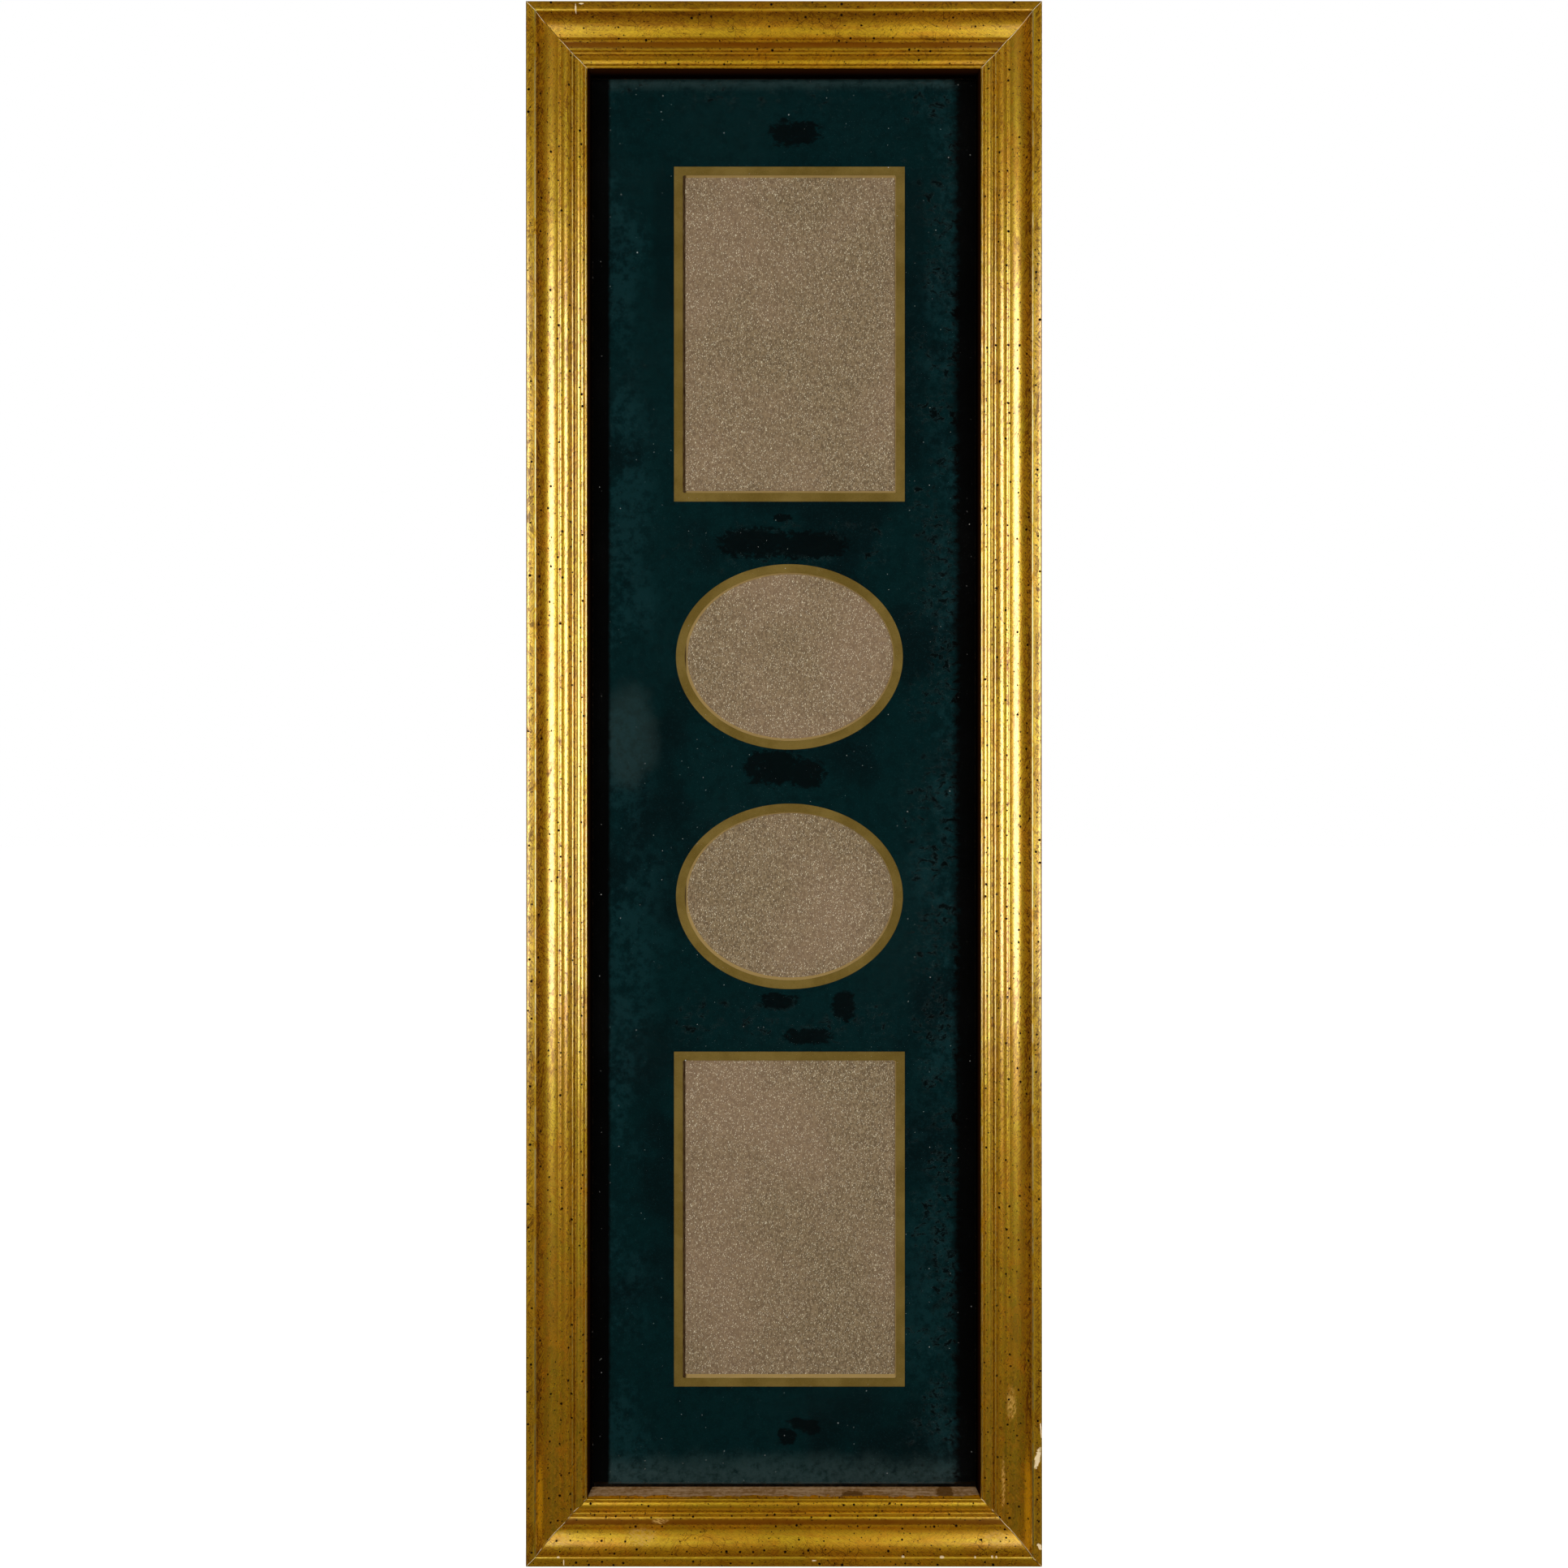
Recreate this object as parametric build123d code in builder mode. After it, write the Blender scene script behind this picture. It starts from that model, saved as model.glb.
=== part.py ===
from build123d import *
import math
import os

# A collage photo frame that hangs upright on a wall, in millimetres.
# X runs across the frame, Z up and Y into the wall. The back of the rails is the plane Y = 0
# and the face looks towards -Y. The origin is the point where the wall hook carries the hanger.

# Overall sizes
outer_width = 223.0
outer_height = 676.0
overrun = 2.0                   # how far every cut runs past the face it leaves by

# Moulding, from the outer side inwards: the width of each member
flat_width = 4.2
cove_width = 9.0
step_width = 0.9
roll_width = 4.0
outer_quirk_width = 0.6
small_bead_width = 0.9
middle_quirk_width = 1.0
broad_bead_width = 3.3
inner_quirk_width = 0.6
sight_bead_width = 0.8
lip_run = 1.5                   # the lip's wall leans in by this much

# Moulding: how far each member falls or stands
edge_round = 0.9
arris_break = 0.3
cove_drop = 6.1
step_rise = 0.3
roll_drop = 1.4
quirk_drop = 0.4
bead_fall = 0.2                 # each quirk lies this much lower than the one before
small_bead_height = 0.4
broad_bead_height = 0.5
sight_bead_height = 0.3
lip_thickness = 7.0
rabbet_width = 6.35

# Glass, mat and backing, stacked in the rabbet from the front
board_clearance = 0.8           # between a board's edge and the rabbet's wall, all round
glass_thickness = 2.0
glass_arris = 0.25
mat_thickness = 1.4
backing_thickness = 3.0
backing_recess = 0.1            # the backing lies this far inside the back of the rails

# Windows of the mat, top to bottom: upright, oval, oval, upright
upright_window_width = 94.6
upright_window_height = 140.8
window_corner_round = 0.7
oval_window_width = 92.9
oval_window_height = 74.5
middle_bar = 31.7               # mat left between the two ovals
outer_bar = 35.5                # mat left between an oval and an upright window
window_shift = 2.4              # the windows were cut this far right of the board's middle
window_rise = 2.7               # and this far above it

# Corner nails, V-shaped strips driven from the back across each mitre
corner_nail_leg = 4.6
corner_nail_half_angle = 50.0
corner_nail_gauge = 0.5
corner_nail_length = 10.0
corner_nail_depth = 0.3         # how far under the back it is driven
corner_nail_clearance = 0.1
first_nail_share = 0.32         # places along the mitre, as shares of its length on the back
second_nail_share = 0.74

# Turn buttons and their screws
button_gauge = 1.0
button_width = 12.0
button_reach = 25.0             # from the screw to the tip
button_gap = 0.1                # running gap under the button and under the screw's head
button_bore_clearance = 0.08
button_lift_run = 5.0           # the tip turns up over this length
button_lift_height = 1.6
button_tip_chamfer = 2.6
button_rib_length = 10.0
button_rib_width = 3.6
button_rib_height = 0.5
button_rib_taper = 45.0         # the pressed rib's walls lean by this angle
screw_inset = 13.5              # from the outer side of the rail to the screw
screw_shank_radius = 1.5
screw_length = 10.0
screw_head_radius = 3.4
screw_head_height = 2.0
screw_head_top_radius = 2.3
pilot_clearance = 0.05
side_button_spacing = 210.0     # between the screws of a long rail
end_button_spacing = 110.0      # between the two screws of a short rail

# Sawtooth hanger and its nails
hanger_drop = 14.0              # from the top of the frame down to the hook's place
hanger_gauge = 0.8
hanger_stand_off = 1.8
hanger_tooth_pitch = 3.0
hanger_notch_count = 9
hanger_notch_depth = 2.2
hanger_notch_width = 2.4
hanger_body_height = 9.0        # above the notches' tops
hanger_ramp_run = 2.2
hanger_tab_length = 6.6
hanger_tab_height = 7.0
hanger_tab_chamfer = 2.0
hanger_nail_radius = 0.65
hanger_nail_length = 11.0
hanger_nail_head_radius = 1.7
hanger_nail_head_height = 0.8
hanger_nail_clearance = 0.05

# Felt bumpers at the bottom corners
bumper_side = 10.0
bumper_corner = 1.5
bumper_thickness = 3.5          # more than the screws' heads stand proud
bumper_side_inset = 14.0

# Worked out from the sizes above
arris_at = flat_width
cove_at = arris_at + cove_width
step_at = cove_at + step_width
roll_at = step_at + roll_width
small_bead_at = roll_at + outer_quirk_width
middle_quirk_at = small_bead_at + small_bead_width
broad_bead_at = middle_quirk_at + middle_quirk_width
inner_quirk_at = broad_bead_at + broad_bead_width
sight_bead_at = inner_quirk_at + inner_quirk_width
sight_at = sight_bead_at + sight_bead_width
face_width = sight_at + lip_run
back_width = face_width - rabbet_width

rabbet_depth = glass_thickness + mat_thickness + backing_thickness + backing_recess
sight_level = rabbet_depth + lip_thickness
third_quirk_level = sight_level
second_quirk_level = third_quirk_level + bead_fall
first_quirk_level = second_quirk_level + bead_fall
roll_foot_level = first_quirk_level + quirk_drop
step_level = roll_foot_level + roll_drop
cove_level = step_level - step_rise
frame_depth = cove_level + cove_drop

centre = Vector(0, 0, hanger_drop - outer_height / 2)
board_width = outer_width - 2 * (back_width + board_clearance)
board_height = outer_height - 2 * (back_width + board_clearance)
glass_front = -rabbet_depth
mat_front = glass_front + glass_thickness
backing_front = mat_front + mat_thickness
screw_head_seat = 2 * button_gap + button_gauge

backward = Vector(0, 1, 0)
left_side = Vector(1, 0, 0)     # each side is named by the way its rail faces inwards
right_side = Vector(-1, 0, 0)
top_side = Vector(0, 0, -1)
bottom_side = Vector(0, 0, 1)


def save(piece, name):
    piece.part.label = name
    export_step(piece.part, f"parts/{name}.step")


def half_size(inward):
    # How far a side's outer edge lies from the middle of the frame.
    return outer_width / 2 if abs(inward.X) > abs(inward.Z) else outer_height / 2


def half_length(inward):
    # Half the outer length of the rail on that side.
    return outer_height / 2 if abs(inward.X) > abs(inward.Z) else outer_width / 2


def rail_direction(inward):
    return inward.cross(-backward)


def on_back(inward, inset, along):
    # A point on the back of a rail, from its outer edge and from the middle of its length.
    return centre + inward * (inset - half_size(inward)) + rail_direction(inward) * along


def back_plane(inward, inset, along):
    # A plane there that looks out of the back, with its X axis towards the opening.
    return Plane(origin=on_back(inward, inset, along), x_dir=inward, z_dir=backward)


def screw_places(inward):
    # Where the screws of a rail stand, from the middle of its length.
    if inward in (left_side, right_side):
        return [-side_button_spacing, 0, side_button_spacing]
    return [-end_button_spacing / 2, end_button_spacing / 2]


def corner_plane(first, second):
    # The outer corner between two sides, looking out of the back, with X along the mitre.
    corner = centre - first * half_size(first) - second * half_size(second)
    return Plane(origin=corner, x_dir=first + second, z_dir=backward)


def corner_nail_pair(leg, gauge):
    # Two Vs whose points lie on the mitre and whose legs open towards the picture.
    angle = math.radians(corner_nail_half_angle)
    point = gauge / 2 / math.sin(angle)
    tip = Vector(math.cos(angle), math.sin(angle)) * leg
    across = Vector(-math.sin(angle), math.cos(angle)) * (gauge / 2)
    mitre_length = back_width * math.sqrt(2)
    with BuildSketch() as pair:
        with BuildLine() as outline:
            Polyline((-point, 0), tip + across, tip - across, (point, 0))
            mirror(about=Plane.XZ)
        with Locations((first_nail_share * mitre_length, 0), (second_nail_share * mitre_length, 0)):
            add(make_face(outline.edges(), mode=Mode.PRIVATE))
    return pair.sketch


# Rails: one moulding section run along each side and mitred at both ends
def moulding_outline():
    with BuildLine() as outline:
        Line((0, 0), (0, frame_depth - edge_round))
        TangentArc((0, frame_depth - edge_round), (edge_round, frame_depth), tangent=(0, 1))
        Polyline(
            (edge_round, frame_depth),
            (arris_at - arris_break, frame_depth),
            (arris_at, frame_depth - arris_break),
        )
        TangentArc((cove_at, cove_level), (arris_at, frame_depth - arris_break), tangent=(-1, 0))
        Line((cove_at, cove_level), (step_at, step_level))
        TangentArc((step_at, step_level), (roll_at, roll_foot_level), tangent=(1, 0))
        Line((roll_at, roll_foot_level), (small_bead_at, first_quirk_level))
        ThreePointArc(
            (small_bead_at, first_quirk_level),
            (small_bead_at + small_bead_width / 2, first_quirk_level + small_bead_height),
            (middle_quirk_at, first_quirk_level),
        )
        Line((middle_quirk_at, first_quirk_level), (broad_bead_at, second_quirk_level))
        ThreePointArc(
            (broad_bead_at, second_quirk_level),
            (broad_bead_at + broad_bead_width / 2, second_quirk_level + broad_bead_height),
            (inner_quirk_at, second_quirk_level),
        )
        Line((inner_quirk_at, second_quirk_level), (sight_bead_at, third_quirk_level))
        ThreePointArc(
            (sight_bead_at, third_quirk_level),
            (sight_bead_at + sight_bead_width / 2, third_quirk_level + sight_bead_height),
            (sight_at, sight_level),
        )
        Line((sight_at, sight_level), (face_width, rabbet_depth))
        Polyline((face_width, rabbet_depth), (back_width, rabbet_depth), (back_width, 0), (0, 0))
    return outline.edges()


def make_rail(name, inward, neighbours):
    along = rail_direction(inward)
    with BuildPart() as rail:
        with BuildSketch(Plane(origin=on_back(inward, 0, 0), x_dir=inward, z_dir=along)):
            make_face(moulding_outline())
        extrude(amount=half_length(inward), both=True)
        for end in (along, -along):
            corner = on_back(inward, 0, 0) + end * half_length(inward)
            split(bisect_by=Plane(origin=corner, z_dir=end + inward), keep=Keep.BOTTOM)
        slots = corner_nail_pair(
            corner_nail_leg + corner_nail_clearance, corner_nail_gauge + 2 * corner_nail_clearance
        )
        slot_depth = corner_nail_depth + corner_nail_length + corner_nail_clearance
        for neighbour in neighbours:
            with BuildSketch(corner_plane(inward, neighbour)):
                add(slots)
            extrude(amount=-slot_depth, mode=Mode.SUBTRACT)
        with Locations(*[back_plane(inward, screw_inset, place) for place in screw_places(inward)]):
            Hole(screw_shank_radius + pilot_clearance, depth=screw_length + pilot_clearance)
        if inward == top_side:
            with Locations(*hanger_nail_planes()):
                Hole(hanger_nail_radius + hanger_nail_clearance,
                     depth=hanger_nail_length + hanger_nail_clearance)
    save(rail, name)


# Corner nails: two V-shaped strips in each mitre
def make_corner_nails(name, first, second):
    with BuildPart() as nails:
        with BuildSketch(corner_plane(first, second).offset(-corner_nail_depth)):
            add(corner_nail_pair(corner_nail_leg, corner_nail_gauge))
        extrude(amount=-corner_nail_length)
    save(nails, name)


# Glass, mat and backing, each laid on the one before it
def board_plane(front):
    # A plane at a board's front face that looks backwards, so that it extrudes into the stack.
    return Plane(
        origin=centre + backward * front, x_dir=(-1, 0, 0), z_dir=backward
    )


def make_glass():
    with BuildPart() as glass:
        with BuildSketch(board_plane(glass_front)):
            Rectangle(board_width, board_height)
        extrude(amount=glass_thickness)
        chamfer(glass.edges().filter_by(Axis.Y, reverse=True), length=glass_arris)
    save(glass, "glass_pane")


def window_places():
    # How far the middles of the ovals and of the upright windows lie from the middle of the group.
    oval = (middle_bar + oval_window_height) / 2
    upright = oval + oval_window_height / 2 + outer_bar + upright_window_height / 2
    return oval, upright


def make_mat():
    oval, upright = window_places()
    with BuildPart() as mat:
        with BuildSketch(board_plane(mat_front)):
            Rectangle(board_width, board_height)
            with Locations((-window_shift, window_rise + upright), (-window_shift, window_rise - upright)):
                RectangleRounded(
                    upright_window_width,
                    upright_window_height,
                    window_corner_round,
                    mode=Mode.SUBTRACT,
                )
            with Locations((-window_shift, window_rise + oval), (-window_shift, window_rise - oval)):
                Ellipse(oval_window_width / 2, oval_window_height / 2, mode=Mode.SUBTRACT)
        extrude(amount=mat_thickness)
    save(mat, "mat_board")


def make_backing():
    with BuildPart() as backing:
        with BuildSketch(board_plane(backing_front)):
            Rectangle(board_width, board_height)
        extrude(amount=backing_thickness)
    save(backing, "backing_board")


# Turn buttons: pressed strips that swing on their screws to hold or free the backing
def make_turn_button(name, inward, place):
    back = back_plane(inward, screw_inset, place)
    # The strip's side view, with its Y axis out of the back
    side = Plane(origin=back.origin, x_dir=inward, z_dir=inward.cross(backward))
    heel = -button_width / 2
    bend = button_reach - button_lift_run
    under = button_gap
    upper = button_gap + button_gauge
    rib_middle = (button_width / 2 + bend) / 2
    with BuildPart() as button:
        with BuildSketch(side):
            with BuildLine():
                Polyline(
                    (heel, under),
                    (bend, under),
                    (button_reach, under + button_lift_height),
                    (button_reach, upper + button_lift_height),
                    (bend, upper),
                    (heel, upper),
                    close=True,
                )
            make_face()
        extrude(amount=button_width / 2, both=True)
        with BuildSketch(back) as plan:
            Circle(button_width / 2)
            with Locations((button_reach / 2, 0)):
                Rectangle(button_reach, button_width)
            chamfer(plan.vertices().sort_by(Axis.X)[-2:], length=button_tip_chamfer)
        extrude(amount=upper + button_lift_height, mode=Mode.INTERSECT)
        with BuildSketch(back.offset(upper)):
            with Locations((rib_middle, 0)):
                Rectangle(button_rib_length, button_rib_width)
        extrude(amount=button_rib_height, taper=button_rib_taper)
        with BuildSketch(back.offset(under)):
            with Locations((rib_middle, 0)):
                Rectangle(button_rib_length, button_rib_width)
        extrude(amount=button_rib_height, taper=button_rib_taper, mode=Mode.SUBTRACT)
        with BuildSketch(back):
            Circle(screw_shank_radius + button_bore_clearance)
        extrude(amount=upper + overrun, mode=Mode.SUBTRACT)
    save(button, name)


# Screws: one solid, repeated at every turn button
def make_screws():
    head_top = screw_head_seat + screw_head_height
    with BuildPart() as screw:
        with BuildSketch(Plane.XZ):
            with BuildLine():
                Polyline(
                    (0, -screw_length),
                    (screw_shank_radius, -screw_length),
                    (screw_shank_radius, screw_head_seat),
                    (screw_head_radius, screw_head_seat),
                    (screw_head_top_radius, head_top),
                    (0, head_top),
                    close=True,
                )
            make_face()
        revolve(axis=Axis.Z)
    places = [
        back_plane(inward, screw_inset, place)
        for inward in (left_side, right_side, top_side, bottom_side)
        for place in screw_places(inward)
    ]
    with BuildPart() as screws:
        with Locations(*places):
            add(screw.part)
    save(screws, "turn_button_screws")


# Sawtooth hanger: a bent strip with its notches along the lower edge of the raised middle
def hanger_half_lengths():
    middle = hanger_notch_count * hanger_tooth_pitch / 2
    ramp = middle + hanger_ramp_run
    return middle, ramp, ramp + hanger_tab_length


def hanger_middle_height():
    # The height of the hanger's middle above the notches' tops.
    return (hanger_body_height - hanger_notch_depth) / 2


def hanger_nail_planes():
    middle, ramp, end = hanger_half_lengths()
    nail = (ramp + end) / 2
    return [
        Plane(origin=(x, 0, hanger_middle_height()), x_dir=(-1, 0, 0), z_dir=backward)
        for x in (-nail, nail)
    ]


def make_hanger():
    middle, ramp, end = hanger_half_lengths()
    lift = hanger_stand_off
    gauge = hanger_gauge
    face = Plane(origin=(0, 0, 0), x_dir=(-1, 0, 0), z_dir=backward)
    with BuildPart() as hanger:
        with BuildSketch(Plane.XY.offset(-hanger_notch_depth)):
            with BuildLine():
                Polyline(
                    (0, lift),
                    (middle, lift),
                    (ramp, 0),
                    (end, 0),
                    (end, gauge),
                    (ramp, gauge),
                    (middle, lift + gauge),
                    (0, lift + gauge),
                )
                mirror(about=Plane.YZ)
            make_face()
        extrude(amount=hanger_notch_depth + hanger_body_height)
        with BuildSketch(face):
            with Locations((0, hanger_middle_height())):
                chamfer(Rectangle(2 * end, hanger_tab_height).vertices(), length=hanger_tab_chamfer)
                Rectangle(2 * ramp, hanger_notch_depth + hanger_body_height)
        extrude(amount=lift + gauge, mode=Mode.INTERSECT)
        with BuildSketch(face):
            first_notch = -(hanger_notch_count - 1) / 2 * hanger_tooth_pitch
            for notch in range(hanger_notch_count):
                with Locations((first_notch + notch * hanger_tooth_pitch, 0)):
                    Polygon(
                        (0, 0),
                        (-hanger_notch_width / 2, -hanger_notch_depth),
                        (-hanger_notch_width / 2, -hanger_notch_depth - overrun),
                        (hanger_notch_width / 2, -hanger_notch_depth - overrun),
                        (hanger_notch_width / 2, -hanger_notch_depth),
                        align=None,
                    )
        extrude(amount=lift + gauge + overrun, mode=Mode.SUBTRACT)
        with Locations(*[plane.offset(gauge) for plane in hanger_nail_planes()]):
            Hole(hanger_nail_radius + hanger_nail_clearance, depth=gauge + overrun)
    save(hanger, "sawtooth_hanger")


def make_hanger_nails():
    seat = hanger_gauge
    tip = seat - hanger_nail_length
    with BuildPart() as nail:
        with BuildSketch(Plane.XZ):
            with BuildLine():
                Polyline(
                    (0, tip),
                    (hanger_nail_radius, tip),
                    (hanger_nail_radius, seat),
                    (hanger_nail_head_radius, seat),
                    (hanger_nail_head_radius, seat + hanger_nail_head_height),
                    (0, seat + hanger_nail_head_height),
                    close=True,
                )
            make_face()
        revolve(axis=Axis.Z)
    with BuildPart() as nails:
        with Locations(*hanger_nail_planes()):
            add(nail.part)
    save(nails, "hanger_nails")


# Bumpers: square felt pads that keep the bottom of the frame off the wall
def make_bumper(name, side):
    across = side * (bumper_side_inset - outer_width / 2)
    up = bottom_side * (back_width / 2 - outer_height / 2)
    with BuildPart() as bumper:
        with BuildSketch(Plane(origin=centre + across + up, x_dir=side, z_dir=backward)):
            chamfer(Rectangle(bumper_side, bumper_side).vertices(), length=bumper_corner)
        extrude(amount=bumper_thickness)
    save(bumper, name)


os.makedirs("parts", exist_ok=True)

make_rail("top_rail", top_side, (left_side, right_side))
make_rail("bottom_rail", bottom_side, (left_side, right_side))
make_rail("left_rail", left_side, (top_side, bottom_side))
make_rail("right_rail", right_side, (top_side, bottom_side))

make_corner_nails("corner_nails_top_left", top_side, left_side)
make_corner_nails("corner_nails_top_right", top_side, right_side)
make_corner_nails("corner_nails_bottom_left", bottom_side, left_side)
make_corner_nails("corner_nails_bottom_right", bottom_side, right_side)

make_glass()
make_mat()
make_backing()

button_names = {
    "left": (left_side, ("upper", "middle", "lower")),
    "right": (right_side, ("lower", "middle", "upper")),
    "top": (top_side, ("right", "left")),
    "bottom": (bottom_side, ("left", "right")),
}
for side_name, (inward, place_names) in button_names.items():
    for place, place_name in zip(screw_places(inward), place_names):
        make_turn_button(f"turn_button_{side_name}_{place_name}", inward, place)

make_screws()
make_hanger()
make_hanger_nails()
make_bumper("wall_bumper_left", left_side)
make_bumper("wall_bumper_right", right_side)
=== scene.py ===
import itertools
import math

import bmesh
import bpy
from mathutils import Matrix, Vector


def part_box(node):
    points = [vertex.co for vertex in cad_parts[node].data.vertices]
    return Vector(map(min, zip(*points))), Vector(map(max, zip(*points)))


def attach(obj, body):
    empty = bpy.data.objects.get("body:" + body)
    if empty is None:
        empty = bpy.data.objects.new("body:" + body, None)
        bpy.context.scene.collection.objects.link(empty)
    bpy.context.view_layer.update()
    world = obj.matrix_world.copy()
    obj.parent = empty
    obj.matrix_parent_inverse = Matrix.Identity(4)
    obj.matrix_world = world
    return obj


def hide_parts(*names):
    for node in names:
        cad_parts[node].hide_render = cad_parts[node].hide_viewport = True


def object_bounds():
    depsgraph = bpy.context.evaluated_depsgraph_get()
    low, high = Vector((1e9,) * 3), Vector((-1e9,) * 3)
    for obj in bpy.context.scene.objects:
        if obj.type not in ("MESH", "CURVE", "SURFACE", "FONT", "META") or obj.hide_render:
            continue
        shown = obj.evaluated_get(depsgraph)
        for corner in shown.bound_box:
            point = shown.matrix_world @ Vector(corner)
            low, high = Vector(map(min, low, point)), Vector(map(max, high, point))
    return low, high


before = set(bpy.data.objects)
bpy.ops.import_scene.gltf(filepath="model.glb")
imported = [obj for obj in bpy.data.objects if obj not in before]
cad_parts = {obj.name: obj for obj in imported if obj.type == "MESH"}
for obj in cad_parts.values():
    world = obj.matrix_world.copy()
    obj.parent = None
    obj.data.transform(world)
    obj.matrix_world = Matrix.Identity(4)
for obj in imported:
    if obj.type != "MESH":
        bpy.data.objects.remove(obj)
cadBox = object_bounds()
print("frame loaded with", len(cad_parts), "nodes")

mm = 0.001
halfWidth = (cadBox[1].x - cadBox[0].x) / 2
halfHeight = (cadBox[1].z - cadBox[0].z) / 2
centreZ = (cadBox[1].z + cadBox[0].z) / 2
faceDepth = -cadBox[0].y     # from the back of the rails to the front of the moulding
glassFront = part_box("glass_pane")[0].y
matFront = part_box("mat_board")[0].y
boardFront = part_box("backing_board")[0].y


# A value on its way through a node tree; sums of such values are Math nodes
class Flow:
    def __init__(self, socket):
        self.socket = socket

    def __add__(self, other):
        return calc("ADD", self, other)

    def __radd__(self, other):
        return calc("ADD", other, self)

    def __sub__(self, other):
        return calc("SUBTRACT", self, other)

    def __rsub__(self, other):
        return calc("SUBTRACT", other, self)

    def __mul__(self, other):
        return calc("MULTIPLY", self, other)

    def __rmul__(self, other):
        return calc("MULTIPLY", other, self)

    def __truediv__(self, other):
        return calc("DIVIDE", self, other)

    def __pow__(self, other):
        return calc("POWER", self, other)

    def __abs__(self):
        return calc("ABSOLUTE", self)


# The socket behind a value, a node's first one if it is a node; None for plain numbers and words
def socketOf(value):
    if isinstance(value, Flow):
        return value.socket
    if isinstance(value, bpy.types.Node):
        return value.outputs[0]
    return value if isinstance(value, bpy.types.NodeSocket) else None


def feed(socket, value):
    source = socketOf(value)
    if source is None:
        socket.default_value = value
    else:
        socket.id_data.links.new(source, socket)


# Inputs are a list in the node's own order, or a dictionary by name or number
def feedAll(node, inputs):
    for place, value in (inputs.items() if isinstance(inputs, dict) else enumerate(inputs)):
        feed(node.inputs[place], value)


def newNode(tree, kind, inputs=(), **settings):
    node = tree.nodes.new(kind)
    for name, value in settings.items():
        setattr(node, name, value)
    feedAll(node, inputs)
    return node


# A node in the tree that its first connected input comes from
def nextNode(kind, inputs, **settings):
    values = inputs.values() if isinstance(inputs, dict) else inputs
    sources = [socketOf(value) for value in values]
    tree = next(source for source in sources if source is not None).id_data
    return newNode(tree, kind, inputs, **settings)


def calc(operation, *values, clamp=False):
    return Flow(nextNode("ShaderNodeMath", values, operation=operation, use_clamp=clamp).outputs[0])


def smallest(found, *others):
    for value in others:
        found = calc("MINIMUM", found, value)
    return found


def largest(found, *others):
    for value in others:
        found = calc("MAXIMUM", found, value)
    return found


def vectorCalc(operation, *values):
    return Flow(nextNode("ShaderNodeVectorMath", values, operation=operation).outputs[0])


def joined(x, y, z):
    return Flow(nextNode("ShaderNodeCombineXYZ", (x, y, z)).outputs[0])


def parted(vector):
    return [Flow(part) for part in nextNode("ShaderNodeSeparateXYZ", (vector,)).outputs]


# A soft step: 0 where value is at low, 1 where it is at high
def fade(value, low, high):
    inputs = {"Value": value, "From Min": low, "From Max": high}
    return Flow(nextNode("ShaderNodeMapRange", inputs, interpolation_type="SMOOTHSTEP").outputs[0])


# A 0 to 1 pattern, made to swing about zero
def swing(value, amount):
    return (value - 0.5) * amount


def noise(vector, scale, detail=3.0, roughness=0.55, distortion=0.0):
    inputs = {
        "Vector": vector, "Scale": scale, "Detail": detail, "Roughness": roughness, "Distortion": distortion,
    }
    return Flow(nextNode("ShaderNodeTexNoise", inputs).outputs[0])


def cells(vector, scale, feature="F1", flat=False):
    kind = "2D" if flat else "3D"
    return nextNode("ShaderNodeTexVoronoi", {"Vector": vector, "Scale": scale}, feature=feature,
                    voronoi_dimensions=kind)


# Round dots on a flat pattern: cells to a metre, chance and size in the cell, no two alike
def dots(vector, kinds, soft=0.6):
    found = []
    for scale, chance, size in kinds:
        cell = cells(vector, scale, flat=True)
        pick = parted(cell.outputs["Color"])
        radius = size * (0.45 + pick[1])
        dot = 1 - fade(cell.outputs["Distance"], radius * soft, radius)
        found.append(dot * calc("LESS_THAN", pick[0], chance))
    return largest(*found)


def scaled(vector, factors):
    return vectorCalc("MULTIPLY", vector, factors)


def mixed(factor, first, second):
    return Flow(nextNode("ShaderNodeMix", {0: factor, 6: first, 7: second}, data_type="RGBA").outputs[2])


def mixedValue(factor, first, second):
    return Flow(nextNode("ShaderNodeMix", {0: factor, 2: first, 3: second}, data_type="FLOAT").outputs[0])


# A curve of values along one number; stops are (place, value) from 0 to 1
def curveOf(value, stops):
    node = nextNode("ShaderNodeValToRGB", (value,))
    ramp = node.color_ramp
    ramp.elements[0].position = stops[0][0]
    ramp.elements[1].position = stops[-1][0]
    for place, _ in stops[1:-1]:
        ramp.elements.new(place)
    for element, (_, level) in zip(ramp.elements, stops):
        element.color = (level, level, level, 1)
    return Flow(node.outputs[0])


# Two surfaces mixed by a share from 0 to 1
def blended(factor, first, second):
    return nextNode("ShaderNodeMixShader", (factor, first, second))


def bumped(height, strength, distance):
    return nextNode("ShaderNodeBump", {"Height": height, "Strength": strength, "Distance": distance})


def newMaterial(name):
    material = bpy.data.materials.new(name)
    material.use_nodes = True
    tree = material.node_tree
    return material, tree, tree.nodes["Principled BSDF"]


def showSurface(tree, surface):
    feed(tree.nodes["Material Output"].inputs["Surface"], surface)


def objectPlace(tree):
    return newNode(tree, "ShaderNodeTexCoord").outputs["Object"]


# A colour as it is picked on screen, made linear
def shade(red, green, blue):
    linear = [((c / 255 + 0.055) / 1.055) ** 2.4 if c > 10 else c / 255 / 12.92 for c in (red, green, blue)]
    return (*linear, 1.0)


def addObject(name, data):
    piece = bpy.data.objects.new(name, data)
    bpy.context.scene.collection.objects.link(piece)
    return piece


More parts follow.
